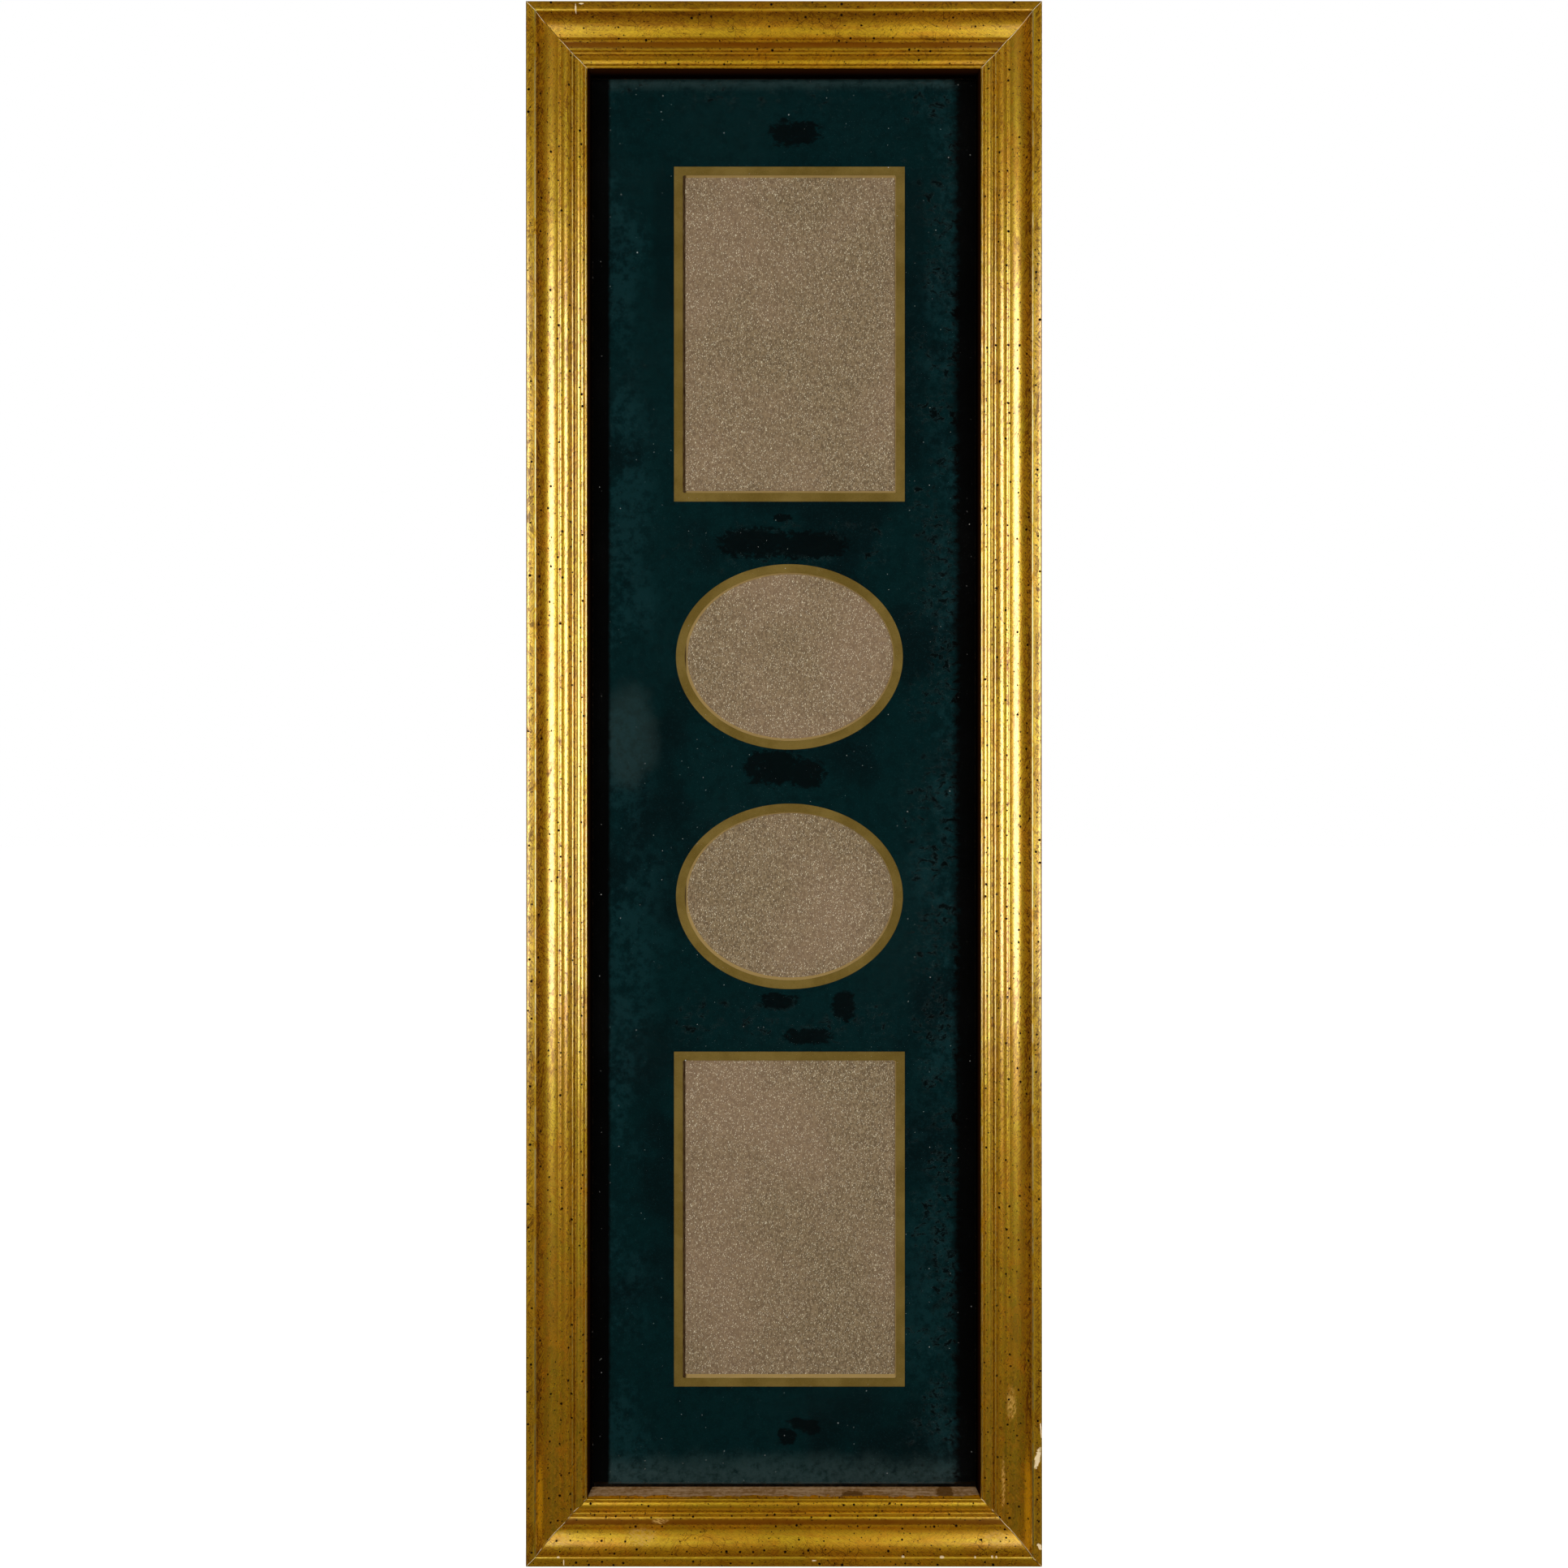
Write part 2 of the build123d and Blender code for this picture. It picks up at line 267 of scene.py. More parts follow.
# An object from a finished bmesh
def builtObject(name, build, material):
    mesh = bpy.data.meshes.new(name)
    build.to_mesh(mesh)
    build.free()
    mesh.materials.append(material)
    return addObject(name, mesh)


# Moulding, from the outer side inwards, and how deep each member lies
moulding = {
    "flat": 4.5 * mm, "cove": 8.7 * mm, "step": 0.9 * mm, "roll": 4.0 * mm,
    "outerQuirk": 0.6 * mm, "smallBead": 0.9 * mm, "middleQuirk": 1.0 * mm,
    "broadBead": 3.3 * mm, "innerQuirk": 0.6 * mm, "sightBead": 0.8 * mm, "lipRun": 1.5 * mm,
    "edgeRound": 0.9 * mm, "arrisRound": 0.6 * mm, "coveDrop": 6.1 * mm, "coveTilt": 7.5,
    "stepRise": 0.3 * mm, "rollDrop": 1.4 * mm, "quirkDrop": 0.4 * mm, "beadFall": 0.2 * mm,
    "smallBeadHeight": 0.4 * mm, "broadBeadHeight": 0.5 * mm, "sightBeadHeight": 0.3 * mm,
    "quirkRound": 0.12 * mm, "rabbetDepth": 6.5 * mm, "rabbetWidth": 6.35 * mm,
    "cutsPerMetre": 560, "bow": 0.15 * mm, "waver": 0.09 * mm, "dent": 0.28 * mm, "sharpBend": 38,
}
members = [
    "flat", "cove", "step", "roll", "outerQuirk", "smallBead", "middleQuirk", "broadBead", "innerQuirk",
    "sightBead", "lipRun",
]


# Points of an arc that leaves start along direction and ends at end
def arcFrom(start, direction, end, count):
    start, end = Vector(start), Vector(end)
    direction = Vector(direction).normalized()
    side = Vector((-direction.y, direction.x))
    chord = end - start
    radius = chord.length_squared / (2 * chord.dot(side))
    middle = start + side * radius
    first = math.atan2(start.y - middle.y, start.x - middle.x)
    last = math.atan2(end.y - middle.y, end.x - middle.x)
    turn = last - first
    if radius > 0 and turn < 0:
        turn += 2 * math.pi
    if radius < 0 and turn > 0:
        turn -= 2 * math.pi
    size = abs(radius)
    return [
        middle + size * Vector((math.cos(first + turn * k / count), math.sin(first + turn * k / count)))
        for k in range(count + 1)
    ]


# Points of an arc over a chord, standing height above its middle
def archOver(start, end, height, count):
    start, end = Vector(start), Vector(end)
    chord = end - start
    angle = 2 * math.atan(2 * height / chord.length)
    direction = Matrix.Rotation(angle, 2) @ chord
    return arcFrom(start, direction, end, count)


# The closed section of the moulding: (distance from the outer side, height above the back)
def sectionPoints(m):
    ends = list(itertools.accumulate(m[member] for member in members))
    arrisAt, coveAt, stepAt, rollAt, smallAt, middleAt = ends[:6]
    broadAt, innerAt, sightBeadAt, sightAt, faceWidth = ends[6:]
    backWidth = faceWidth - m["rabbetWidth"]
    coveLevel = faceDepth - m["coveDrop"]
    stepLevel = coveLevel + m["stepRise"]
    footLevel = stepLevel - m["rollDrop"]
    firstLevel = footLevel - m["quirkDrop"]
    secondLevel = firstLevel - m["beadFall"]
    thirdLevel = secondLevel - m["beadFall"]
    soft, edge, arris = m["quirkRound"], m["edgeRound"], m["arrisRound"]
    points = [Vector((0, 0)), Vector((0, faceDepth * 0.3)), Vector((0, faceDepth * 0.6))]
    points += arcFrom((0, faceDepth - edge), (0, 1), (edge, faceDepth), 8)
    points += [Vector((edge + (arrisAt - edge) * share, faceDepth)) for share in (0.3, 0.6)]
    points += arcFrom((arrisAt - arris, faceDepth), (1, 0), (arrisAt, faceDepth - arris), 5)
    leave = math.radians(m["coveTilt"])
    cove = arcFrom((coveAt, coveLevel), (-math.cos(leave), math.sin(leave)), (arrisAt, faceDepth - arris), 26)
    points += list(reversed(cove))[1:]
    points += [Vector((stepAt - m["step"] * 0.6, coveLevel + m["stepRise"] * 0.35))]
    points += arcFrom((stepAt, stepLevel), (1, 0), (rollAt, footLevel), 12)
    points += [Vector((rollAt + soft, firstLevel + soft)), Vector((rollAt + 2 * soft, firstLevel))]
    points += archOver((smallAt, firstLevel), (middleAt, firstLevel), m["smallBeadHeight"], 7)
    points += [Vector((middleAt + soft, secondLevel)), Vector((broadAt - soft, secondLevel))]
    points += archOver((broadAt, secondLevel), (innerAt, secondLevel), m["broadBeadHeight"], 12)
    points += [Vector((innerAt + soft, thirdLevel)), Vector((sightBeadAt - soft, thirdLevel))]
    points += archOver((sightBeadAt, thirdLevel), (sightAt, thirdLevel), m["sightBeadHeight"], 7)
    lipFoot = Vector((faceWidth, m["rabbetDepth"]))
    lipTop = Vector((sightAt, thirdLevel))
    points += [lipTop.lerp(lipFoot, share) for share in (0.1, 0.3, 0.5, 0.7, 0.9)]
    points += [lipFoot, Vector((backWidth, m["rabbetDepth"])), Vector((backWidth, 0))]
    points += [Vector((backWidth * share, 0)) for share in (0.75, 0.5, 0.25)]
    return points, faceWidth


# A geometry tree; inputs are kinds of socket, each with its titles
def newTree(name, inputs):
    tree = bpy.data.node_groups.new(name, "GeometryNodeTree")
    for kind, titles in {"Geometry": ["Geometry"], **inputs, "Material": ["material"]}.items():
        for title in titles:
            tree.interface.new_socket(name=title, in_out="INPUT", socket_type="NodeSocket" + kind)
    tree.interface.new_socket(name="Geometry", in_out="OUTPUT", socket_type="NodeSocketGeometry")
    return tree, {out.name: Flow(out) for out in newNode(tree, "NodeGroupInput").outputs}


# Trees end alike: edges that bend more than sharpBend stay sharp, and the piece gets its one material
def closeTree(tree, geometry, material, sharpBend=None):
    if sharpBend:
        bend = newNode(tree, "GeometryNodeInputMeshEdgeAngle")
        bent = calc("GREATER_THAN", bend, math.radians(sharpBend))
        smooth = newNode(tree, "GeometryNodeSetShadeSmooth", {"Geometry": geometry}, domain="FACE")
        geometry = newNode(tree, "GeometryNodeSetShadeSmooth", {
            "Geometry": smooth, "Selection": bent, "Shade Smooth": False}, domain="EDGE")
    realize = newNode(tree, "GeometryNodeRealizeInstances", (geometry,))
    paint = newNode(tree, "GeometryNodeSetMaterial", {"Geometry": realize, "Material": material})
    newNode(tree, "NodeGroupOutput", (paint,))


# Runs a tree on a mesh and gives back a plain mesh object; values may hold more than the tree's inputs
def grown(name, mesh, tree, values):
    source = addObject(name + "Source", mesh)
    modifier = source.modifiers.new(tree.name, "NODES")
    modifier.node_group = tree
    for item in tree.interface.items_tree:
        if item.in_out == "INPUT" and item.name in values:
            modifier[item.identifier] = values[item.name]
    graph = bpy.context.evaluated_depsgraph_get()
    made = bpy.data.meshes.new_from_object(
        source.evaluated_get(graph), preserve_all_data_layers=True, depsgraph=graph
    )
    source.modifiers.remove(modifier)
    bpy.data.objects.remove(source)
    made.name = name
    for k in reversed(range(len(made.materials))):    # primitives bring an empty slot
        if made.materials[k] is None:
            made.materials.pop(index=k)
    return addObject(name, made)


# Gilded moulding: burnished leaf under a toned varnish, brown in the hollows, raw wood behind
gilding = {
    "leafPale": (1.0, 0.70, 0.004, 1), "leafWarm": (0.95, 0.53, 0.001, 1), "leafDeep": (0.52, 0.21, 0.001, 1),
    "amber": (0.48, 0.17, 0.0001, 1), "olive": (0.37, 0.17, 0.0001, 1), "orange": (0.58, 0.18, 0.0001, 1),
    "brown": (0.16, 0.044, 0.0001, 1), "umber": (0.02, 0.004, 0.0001, 1), "rubbed": (0.72, 0.44, 0.02, 1),
    "rollShadeBrown": (0.12, 0.027, 0.0001, 1), "leafWhite": (1.0, 0.86, 0.36, 1),
    "speck": (0.003, 0.002, 0.001, 1), "glow": (0.74, 0.33, 0.002, 1), "glint": (1.0, 0.62, 0.02, 1),
    "chalk": shade(222, 200, 158), "mitreEdge": shade(242, 218, 168), "ground": shade(206, 162, 88),
    "wallPink": shade(160, 130, 96), "wallShade": shade(120, 86, 48), "wallStain": shade(84, 54, 18),
    "wallShadowBrown": shade(36, 16, 3), "wallShadowBlack": shade(2, 1, 1), "wood": shade(196, 158, 112),
    "woodDark": shade(150, 108, 66), "sideOchre": shade(128, 92, 28),
}

# Toning and rubbing along the section, (place in millimetres, amount): dark in each quirk as toning, dark on
# the flat and beside the arris as toning and painted shade, rubbed on the arris and the beads
toneAndShadeStops = [
    (0.0, 0.5), (0.9, 0.36), (2.2, 0.58), (3.5, 0.64), (3.95, 0.05), (4.5, 0.0), (4.7, 0.66), (5.4, 0.55),
    (6.6, 0.3), (7.8, 0.06), (9.0, 0.0), (13.2, 0.0), (13.9, 0.32), (14.4, 0.0), (16.2, 0.02), (16.9, 0.35),
    (17.6, 0.3), (17.85, 0.0), (18.2, 0.15), (18.42, 1.0), (18.6, 0.9), (18.8, 0.05), (19.5, 0.1),
    (19.85, 1.0), (20.15, 0.9), (20.45, 0.15), (21.0, 0.0), (23.8, 0.1), (24.15, 1.0), (24.4, 0.2),
    (24.9, 0.0), (26.8, 0.9),
]
rubbedStops = [
    (0.0, 0.3), (0.6, 0.6), (1.1, 0.05), (3.0, 0.2), (3.8, 0.6), (4.1, 1.0), (4.45, 1.0), (4.6, 0.0),
    (9.0, 0.0), (10.9, 0.25), (12.8, 0.1), (15.3, 0.0), (17.6, 0.1), (17.85, 0.75), (18.1, 0.0), (18.8, 0.2),
    (19.05, 0.9), (19.5, 0.0), (20.7, 0.1), (21.0, 0.7), (21.5, 0.3), (23.0, 0.35), (23.7, 0.0), (24.5, 0.2),
    (24.85, 1.0), (25.3, 0.1),
]

# Hairlines in the varnish: slant in degrees, length and gap in metres, thickness
hairlines = [
    (34, 7.0 * mm, 1.0 * mm, 0.050), (-42, 5.0 * mm, 1.2 * mm, 0.045), (78, 4.0 * mm, 2.4 * mm, 0.022),
    (6, 16.0 * mm, 2.6 * mm, 0.025),
]
specks = ((200, 0.42, 0.105), (330, 0.5, 0.095), (640, 0.22, 0.12))

# Knocks and rubbed places: millimetres across, metres along with 2 for each rail before it, half sizes in
# millimetres, lean
chips = [
    (2.1, 2.2909, 1.2, 4.6, 0.2), (0.6, 2.2790, 0.35, 4.0, -0.08), (4.3, 3.9175, 0.35, 0.5, 0),
    (4.3, 3.9102, 0.4, 0.45, 0), (4.3, 3.9084, 0.35, 0.4, 0), (4.4, 3.9487, 0.28, 0.8, 0),
    (4.3, 3.9318, 0.34, 1.1, 0), (3.2, -0.0899, 1.8, 0.35, 0.3), (1.4, -0.0875, 0.35, 1.1, 0),
    (1.2, 2.3290, 1.0, 1.6, -0.4), (4.3, 4.0975, 0.35, 0.7, 0), (2.2, 4.0950, 1.5, 0.28, 0.2),
    (3.0, 3.9870, 0.3, 1.2, 0), (26.2, -0.0838, 0.8, 1.0, 0),
]
bareGround = [
    (9.8, 4.0965, 2.6, 4.0, 0), (10.5, 4.0620, 3.2, 6.5, 0), (16.6, 4.0540, 1.0, 3.2, 0),
    (9.6, 3.9080, 3.0, 4.8, 0), (15.9, 2.3050, 0.8, 12.0, 0), (12.5, 2.2700, 2.2, 7.0, 0),
    (10.5, 7.7050, 2.6, 6.0, 0),
]
# Painted warm reflection low in two coves, in the same columns
warmReflection = [(5.9, 2.3130, 1.5, 26.0, 0), (5.9, 5.6900, 1.3, 18.0, 0)]
wallStain = [(26.0, 3.9292, 1.2, 3.6, 0), (25.8, 3.9700, 0.5, 5.0, 0)]


def makeGilding(faceWidth):
    material, tree, varnish = newMaterial("gildedWood")
    leafShader = newNode(tree, "ShaderNodeBsdfPrincipled")
    section = newNode(tree, "ShaderNodeAttribute", attribute_name="section").outputs["Vector"]
    mitre = newNode(tree, "ShaderNodeAttribute", attribute_name="mitre").outputs["Fac"]
    across, level, along = parted(section)
    width = faceWidth / mm
    flatSection = joined(across + level * -0.5, along, 0.0)

    # The section turned by a slant to the rail, then stretched: a length and a gap in metres
    def slanted(slant, length, gap):
        inputs = {"Vector": flatSection, "Angle": math.radians(slant)}
        turned = newNode(tree, "ShaderNodeVectorRotate", inputs, rotation_type="Z_AXIS")
        return scaled(turned, (1 / gap, 1 / length, 1))

    # Thin lines at one slant: where a stretched noise passes its middle value
    def hairs(slant, length, gap, thin):
        lines = noise(slanted(slant, length, gap), 1.0, 2, 0.5, 0.5)
        return 1 - fade(abs(lines - 0.5), thin * 0.3, thin)

    def hatching(slant):
        return noise(slanted(slant, 3.0 * mm, 0.6 * mm), 1.0, 2, 0.6)

    # Distance from the nearest spot of a list, roughened: 1 at its edge and less inside
    def spots(places, edge):
        fields = []
        for atAcross, atAlong, halfAcross, halfAlong, lean in places:
            away = along - atAlong
            wide = (across - calc("MULTIPLY_ADD", away, lean, atAcross * mm)) / (halfAcross * mm)
            long = away / (halfAlong * mm)
            fields.append(wide * wide + long * long)
        return smallest(*fields) + swing(noise(section, 700, 4, 0.65), edge)

    # The pattern wavers a little, so that no member ends in a ruled line
    waver = noise(scaled(section, (1, 1, 0.35)), 260, 3) - 0.5
    nearShare = across / faceWidth + waver * 0.005
    toneAndShade = curveOf(nearShare, [(place / width, amount) for place, amount in toneAndShadeStops])
    rubbed = curveOf(nearShare, [(place / width, amount) for place, amount in rubbedStops])

    # Streaks and brush lines run along the rail, as the leaf was burnished
    streaks = noise(scaled(section, (1.0, 1.0, 0.045)), 1100, 4, 0.65)
    fineLines = noise(scaled(section, (1.0, 1.0, 0.02)), 2300, 2, 0.6)
    broadStreaks = noise(scaled(section, (1.0, 1.0, 0.07)), 420, 3, 0.5)
    cloud = noise(section, 26, 4, 0.6)
    patches = noise(section, 150, 4, 0.6)
    grain = noise(section, 2000, 3, 0.75)
    speckle = noise(scaled(section, (1.0, 1.0, 0.6)), 900, 3, 0.65)

    # Short slanted brush marks in the leaf, leaning the other way in places
    where = noise(section, 55, 2)
    hatch = mixedValue(fade(where, 0.47, 0.53), hatching(28), hatching(-35))

    # Each slant of hairlines has its own places
    homes = [
        fade(where, 0.44, 0.54), 1 - fade(where, 0.46, 0.58),
        fade(patches, 0.48, 0.58), fade(cloud, 0.46, 0.56),
    ]
    hairline = largest(*[hairs(*row) * home for row, home in zip(hairlines, homes)])
    bent = vectorCalc("ADD", section, scaled(joined(waver, waver, waver), (0.004, 0.004, 0.004)))
    crackle = cells(bent, 190, feature="DISTANCE_TO_EDGE")
    crack = (1 - fade(crackle, 0.0, 0.035)) * fade(noise(section, 70, 2), 0.54, 0.62)

    # Toning: the member's own amount, broken up by cloud, streaks, hairlines and grain. Painted shade: the
    # top and bottom rails, which the side lamps light less, are toned darker and flatter, with fewer strokes
    # and rubbed lines, the top one darkest
    topRail = 1 - fade(along, 0.5, 0.6)
    bottom = 1 - fade(abs(along - 4.0), 0.5, 0.6)
    crosswise = largest(topRail, bottom)
    shadedRoll = fade(across, 14.4 * mm, 15.9 * mm) * fade(across, 17.8 * mm, 16.7 * mm) * crosswise
    depth = mixedValue(crosswise, toneAndShade, calc("MULTIPLY_ADD", toneAndShade, 0.34, 0.33))
    depth = calc("MULTIPLY_ADD", topRail, 0.18, depth)
    strokes = swing(hatch, 0.9) + (swing(grain, 1.0) + swing(speckle, 0.45))
    strokes = strokes * (1 - largest(crosswise * 0.6, toneAndShade * 0.55))
    depth = sum([
        swing(cloud, 0.3), swing(patches, 0.25), swing(streaks, 0.12), swing(fineLines, 0.25), strokes,
        hairline * calc("MULTIPLY_ADD", crosswise, -0.28, 0.5), shadedRoll * 0.6,
    ], depth)
    depth = calc("ADD", depth, crack * 0.5, clamp=True)
    broken = fade(noise(scaled(section, (1, 1, 0.3)), 480, 4), 0.28, 0.5)
    rub = rubbed * (broken * fade(noise(section, 60, 2), 0.2, 0.46)) * (1 - crosswise * 0.5)

    tone = mixed(fade(cloud, 0.38, 0.62), gilding["amber"], gilding["olive"])
    tone = mixed(fade(patches, 0.54, 0.66) * 0.7, tone, gilding["orange"])
    tone = mixed(fade(depth, 0.25, 0.8), tone, gilding["brown"])
    tone = mixed(fade(depth, 0.75, 1.1) * 0.85, tone, gilding["umber"])
    # Painted shade: the roll of the top and bottom rails turns dark brown and matt
    tone = mixed(shadedRoll * 0.8, tone, gilding["rollShadeBrown"])
    tone = mixed(rub * 0.9, tone, gilding["rubbed"])
    warm = fade(broadStreaks + swing(patches, 0.3), 0.4, 0.66)
    leaf = mixed(warm, gilding["leafPale"], gilding["leafWarm"])
    loud = (1 - crosswise * 0.65) * 0.6
    leaf = mixed(fade(hatch, 0.5, 0.68) * loud, leaf, gilding["leafDeep"])
    leaf = mixed(hairline * loud, leaf, gilding["leafDeep"])
    leaf = mixed(fade(rub, 0.45, 0.95) * 0.8, leaf, gilding["leafWhite"])

    # Rubbed to the ground in places, and a painted warm reflection low in two coves
    glow = 1 - fade(spots(warmReflection, 1.4), 0.1, 1.3)
    tone = mixed(glow * (0.95 - depth * 0.5), tone, gilding["glow"])
    ground = 1 - fade(spots(bareGround, 2.6), 0.3, 1.5)
    ground = ground * (1 - fade(hatch + swing(speckle, 0.5), 0.44, 0.62))
    tone = mixed(ground * 0.6, tone, gilding["ground"])

    # Dark round specks flicked on by brush, and chips down to the chalk ground
    speck = dots(flatSection, specks)
    tone = mixed(speck, tone, gilding["speck"])
    chip = 1 - fade(spots(chips, 3.2), 0.6, 1.1)
    tone = mixed(chip, tone, gilding["chalk"])

    # The open mitre: a pale broken edge on the upright rails, a dark gap on the others
    wander = mitre + waver * (0.35 * mm)
    upright = 1 - crosswise
    edgeLight = (1 - fade(wander, 0.18 * mm, 0.32 * mm)) * upright
    edgeLight = edgeLight * fade(noise(section, 80, 3), 0.41, 0.48)
    gap = (1 - fade(wander, 0.16 * mm, 0.34 * mm)) * (1 - upright)
    gap = gap * fade(noise(section, 60, 2), 0.36, 0.46)
    tone = mixed(edgeLight, tone, gilding["mitreEdge"])
    tone = mixed(gap, tone, gilding["speck"])

    # The lip's wall: painted shade on three rails, brown turning black down towards the glass; on the bottom
    # one the bare ground shows under a rough edge of paint
    wall = 1 - fade(level + waver * (1.2 * mm), 12.9 * mm, 13.3 * mm)
    wall = wall * fade(across, 25.3 * mm, 25.4 * mm)
    wallShadow = mixed(fade(level, 8.0 * mm, 12.5 * mm), gilding["wallShadowBlack"], gilding["wallShadowBrown"])
    tone = mixed(wall * (1 - bottom), tone, wallShadow)
    paintEdge = level + swing(noise(scaled(section, (1, 1, 0.5)), 300, 5, 0.65), 1.0) * (5.0 * mm)
    bare = (1 - fade(paintEdge, 11.6 * mm, 12.1 * mm)) * bottom
    stain = 1 - fade(spots(wallStain, 2.0), 0.7, 1.2)
    pink = mixed(fade(streaks + swing(speckle, 0.8), 0.3, 0.7), gilding["wallPink"], gilding["wallShade"])
    pink = mixed(stain * 0.85, pink, gilding["wallStain"])
    tone = mixed(bare * wall, tone, pink)

    # Raw wood in the rabbet and on the back, ochre wash on the outer sides
    rings = noise(scaled(section, (1, 1, 0.02)), 700, 4, 0.6)
    pores = noise(scaled(section, (1, 1, 0.05)), 2600, 2, 0.6)
    wood = mixed(fade(rings, 0.3, 0.7), gilding["wood"], gilding["woodDark"])
    wood = mixed(fade(pores, 0.58, 0.72) * 0.5, wood, gilding["woodDark"])
    rawBack = 1 - fade(level + waver * (1.6 * mm), 0.5 * mm, 1.1 * mm)
    rawRabbet = fade(across, 20.0 * mm, 20.3 * mm) * calc("LESS_THAN", level, 6.51 * mm)
    raw = largest(rawBack, rawRabbet)
    side = 1 - fade(across, 0.02 * mm, 0.12 * mm)
    sideTone = mixed(fade(streaks, 0.3, 0.7), gilding["sideOchre"], gilding["brown"])
    tone = mixed(side * 0.75, tone, sideTone)
    tone = mixed(raw, tone, wood)

    height = sum([part * amount for part, amount in (
        (fineLines, 0.12), (grain, 0.3), (speckle, 0.22), (hatch * loud, 0.35), (speck, 0.35),
        (hairline * loud, -0.35), (crack, -0.5), (chip, -1.2),
    )], streaks * 0.15)
    relief = bumped(height, 0.45, 0.07 * mm)
    shine = {"Normal": relief, "Coat Roughness": 0.2, "Coat IOR": 2.4}
    feedAll(varnish, {
        **shine, "Base Color": tone, "Specular IOR Level": 0.25, "Specular Tint": gilding["glint"],
        "Roughness": 0.32 + depth * 0.15, "Coat Weight": 0.1,
    })
    feedAll(leafShader, {
        **shine, "Base Color": leaf, "Metallic": 1.0, "Coat Weight": 1.0,
        "Roughness": calc("ADD", 0.3 + depth * 0.1, swing(grain, 0.2), clamp=True),
    })
    cover = calc("ADD", 0.18, depth * 0.76, clamp=True) * (1 - rub * 0.9)
    cover = largest(cover, speck, edgeLight, chip, shadedRoll * 0.92, ground * 0.8, side * 0.8)
    coat = blended(cover, leafShader, varnish)

    # Bare wood, the lip's wall and the gap are matt
    matt = newNode(tree, "ShaderNodeBsdfPrincipled", {
        "Base Color": tone, "Normal": relief, "Roughness": 0.9, "Specular IOR Level": 0.0})
    dull = largest(raw, wall, gap, chip, speck, edgeLight, shadedRoll * 0.7)
    whole = blended(dull, coat, matt)
    showSurface(tree, whole)
    return material


# One rail: the section swept along a line, cut back at both ends to the mitres, then turned into place
def railTree():
    tree, given = newTree("mouldedRail", {"Int": ["cuts"], "Float": [
        "halfLength", "reach", "turn", "centreHeight", "bow", "waver", "dent", "railNumber", "arrisPlace"]})

    def keep(geometry, name, value, kind):
        inputs = {"Geometry": geometry, "Name": name, "Value": value}
        return newNode(tree, "GeometryNodeStoreNamedAttribute", inputs, data_type=kind, domain="POINT")

    here = newNode(tree, "GeometryNodeInputPosition")
    runShare = newNode(tree, "GeometryNodeSplineParameter").outputs["Factor"]
    loop = newNode(tree, "GeometryNodeMeshToCurve", {"Mesh": given["Geometry"]})
    line = newNode(tree, "GeometryNodeCurvePrimitiveLine", {"End": (1.0, 0.0, 0.0)})
    cut = newNode(tree, "GeometryNodeResampleCurve", {"Curve": line, "Count": given["cuts"]})
    sweep = newNode(tree, "GeometryNodeCurveToMesh", {
        "Curve": keep(cut, "runShare", runShare, "FLOAT"),
        "Profile Curve": keep(loop, "section", here, "FLOAT_VECTOR"), "Fill Caps": True})

    section = newNode(tree, "GeometryNodeInputNamedAttribute", {"Name": "section"}, data_type="FLOAT_VECTOR")
    run = newNode(tree, "GeometryNodeInputNamedAttribute", {"Name": "runShare"}, data_type="FLOAT")
    across, level, _ = parted(section)
    way = calc("MULTIPLY_ADD", run, 2.0, -1.0)
    free = given["halfLength"] - across
    x = way * free
    hollow = 1 - way * way
    bow = given["bow"] * (hollow * hollow)
    z = given["reach"] - across - bow
    turned = newNode(tree, "ShaderNodeVectorRotate", {
        "Vector": joined(x, level * -1.0, z), "Angle": given["turn"]}, rotation_type="Y_AXIS")
    lifted = vectorCalc("ADD", turned, joined(0.0, 0.0, given["centreHeight"]))
    place = newNode(tree, "GeometryNodeSetPosition", {"Geometry": sweep, "Position": lifted})

    # What the finish needs: the place on the section with the run along the rail, and how far the mitre is
    kept = keep(place, "section", joined(across, level, x + given["railNumber"]), "FLOAT_VECTOR")
    kept = keep(kept, "mitre", free - abs(x), "FLOAT")

    # Handling wear: the face wavers and the arris has small dents; only the front moves
    front = fade(level, 12.5 * mm, 14.0 * mm)
    ripple = swing(noise(here, 38, 2), given["waver"])
    nearArris = 1 - fade(abs(across - given["arrisPlace"]), 0.15 * mm, 0.8 * mm)
    hit = fade(noise(here, 140, 2), 0.58, 0.75) * given["dent"]
    inward = front * largest(ripple + hit * nearArris, 0.0)
    worn = newNode(tree, "GeometryNodeSetPosition", {"Geometry": kept, "Offset": joined(0.0, inward, 0.0)})
    closeTree(tree, worn, given["material"], moulding["sharpBend"])
    return tree


def makeRails():
    points, faceWidth = sectionPoints(moulding)
    material = makeGilding(faceWidth)
    tree = railTree()
    sides = [
        ("top", halfWidth, halfHeight, 0.0), ("right", halfHeight, halfWidth, moulding["bow"]),
        ("bottom", halfWidth, halfHeight, 0.0), ("left", halfHeight, halfWidth, moulding["bow"]),
    ]
    for number, (side, halfLength, reach, bow) in enumerate(sides):
        mesh = bpy.data.meshes.new(side + "Section")
        edges = [(k, (k + 1) % len(points)) for k in range(len(points))]
        mesh.from_pydata([(p.x, p.y, 0) for p in points], edges, [])
        rail = grown(side + "Rail", mesh, tree, {
            **moulding, "halfLength": halfLength, "reach": reach, "turn": math.radians(90.0 * number),
            "centreHeight": centreZ, "cuts": round(2 * halfLength * moulding["cutsPerMetre"]), "bow": bow,
            "railNumber": 2.0 * number, "arrisPlace": moulding["flat"], "material": material,
        })
        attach(rail, "frame")
        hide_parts(side + "_rail")
        print(side, "rail made,", len(rail.data.polygons), "faces")


makeRails()


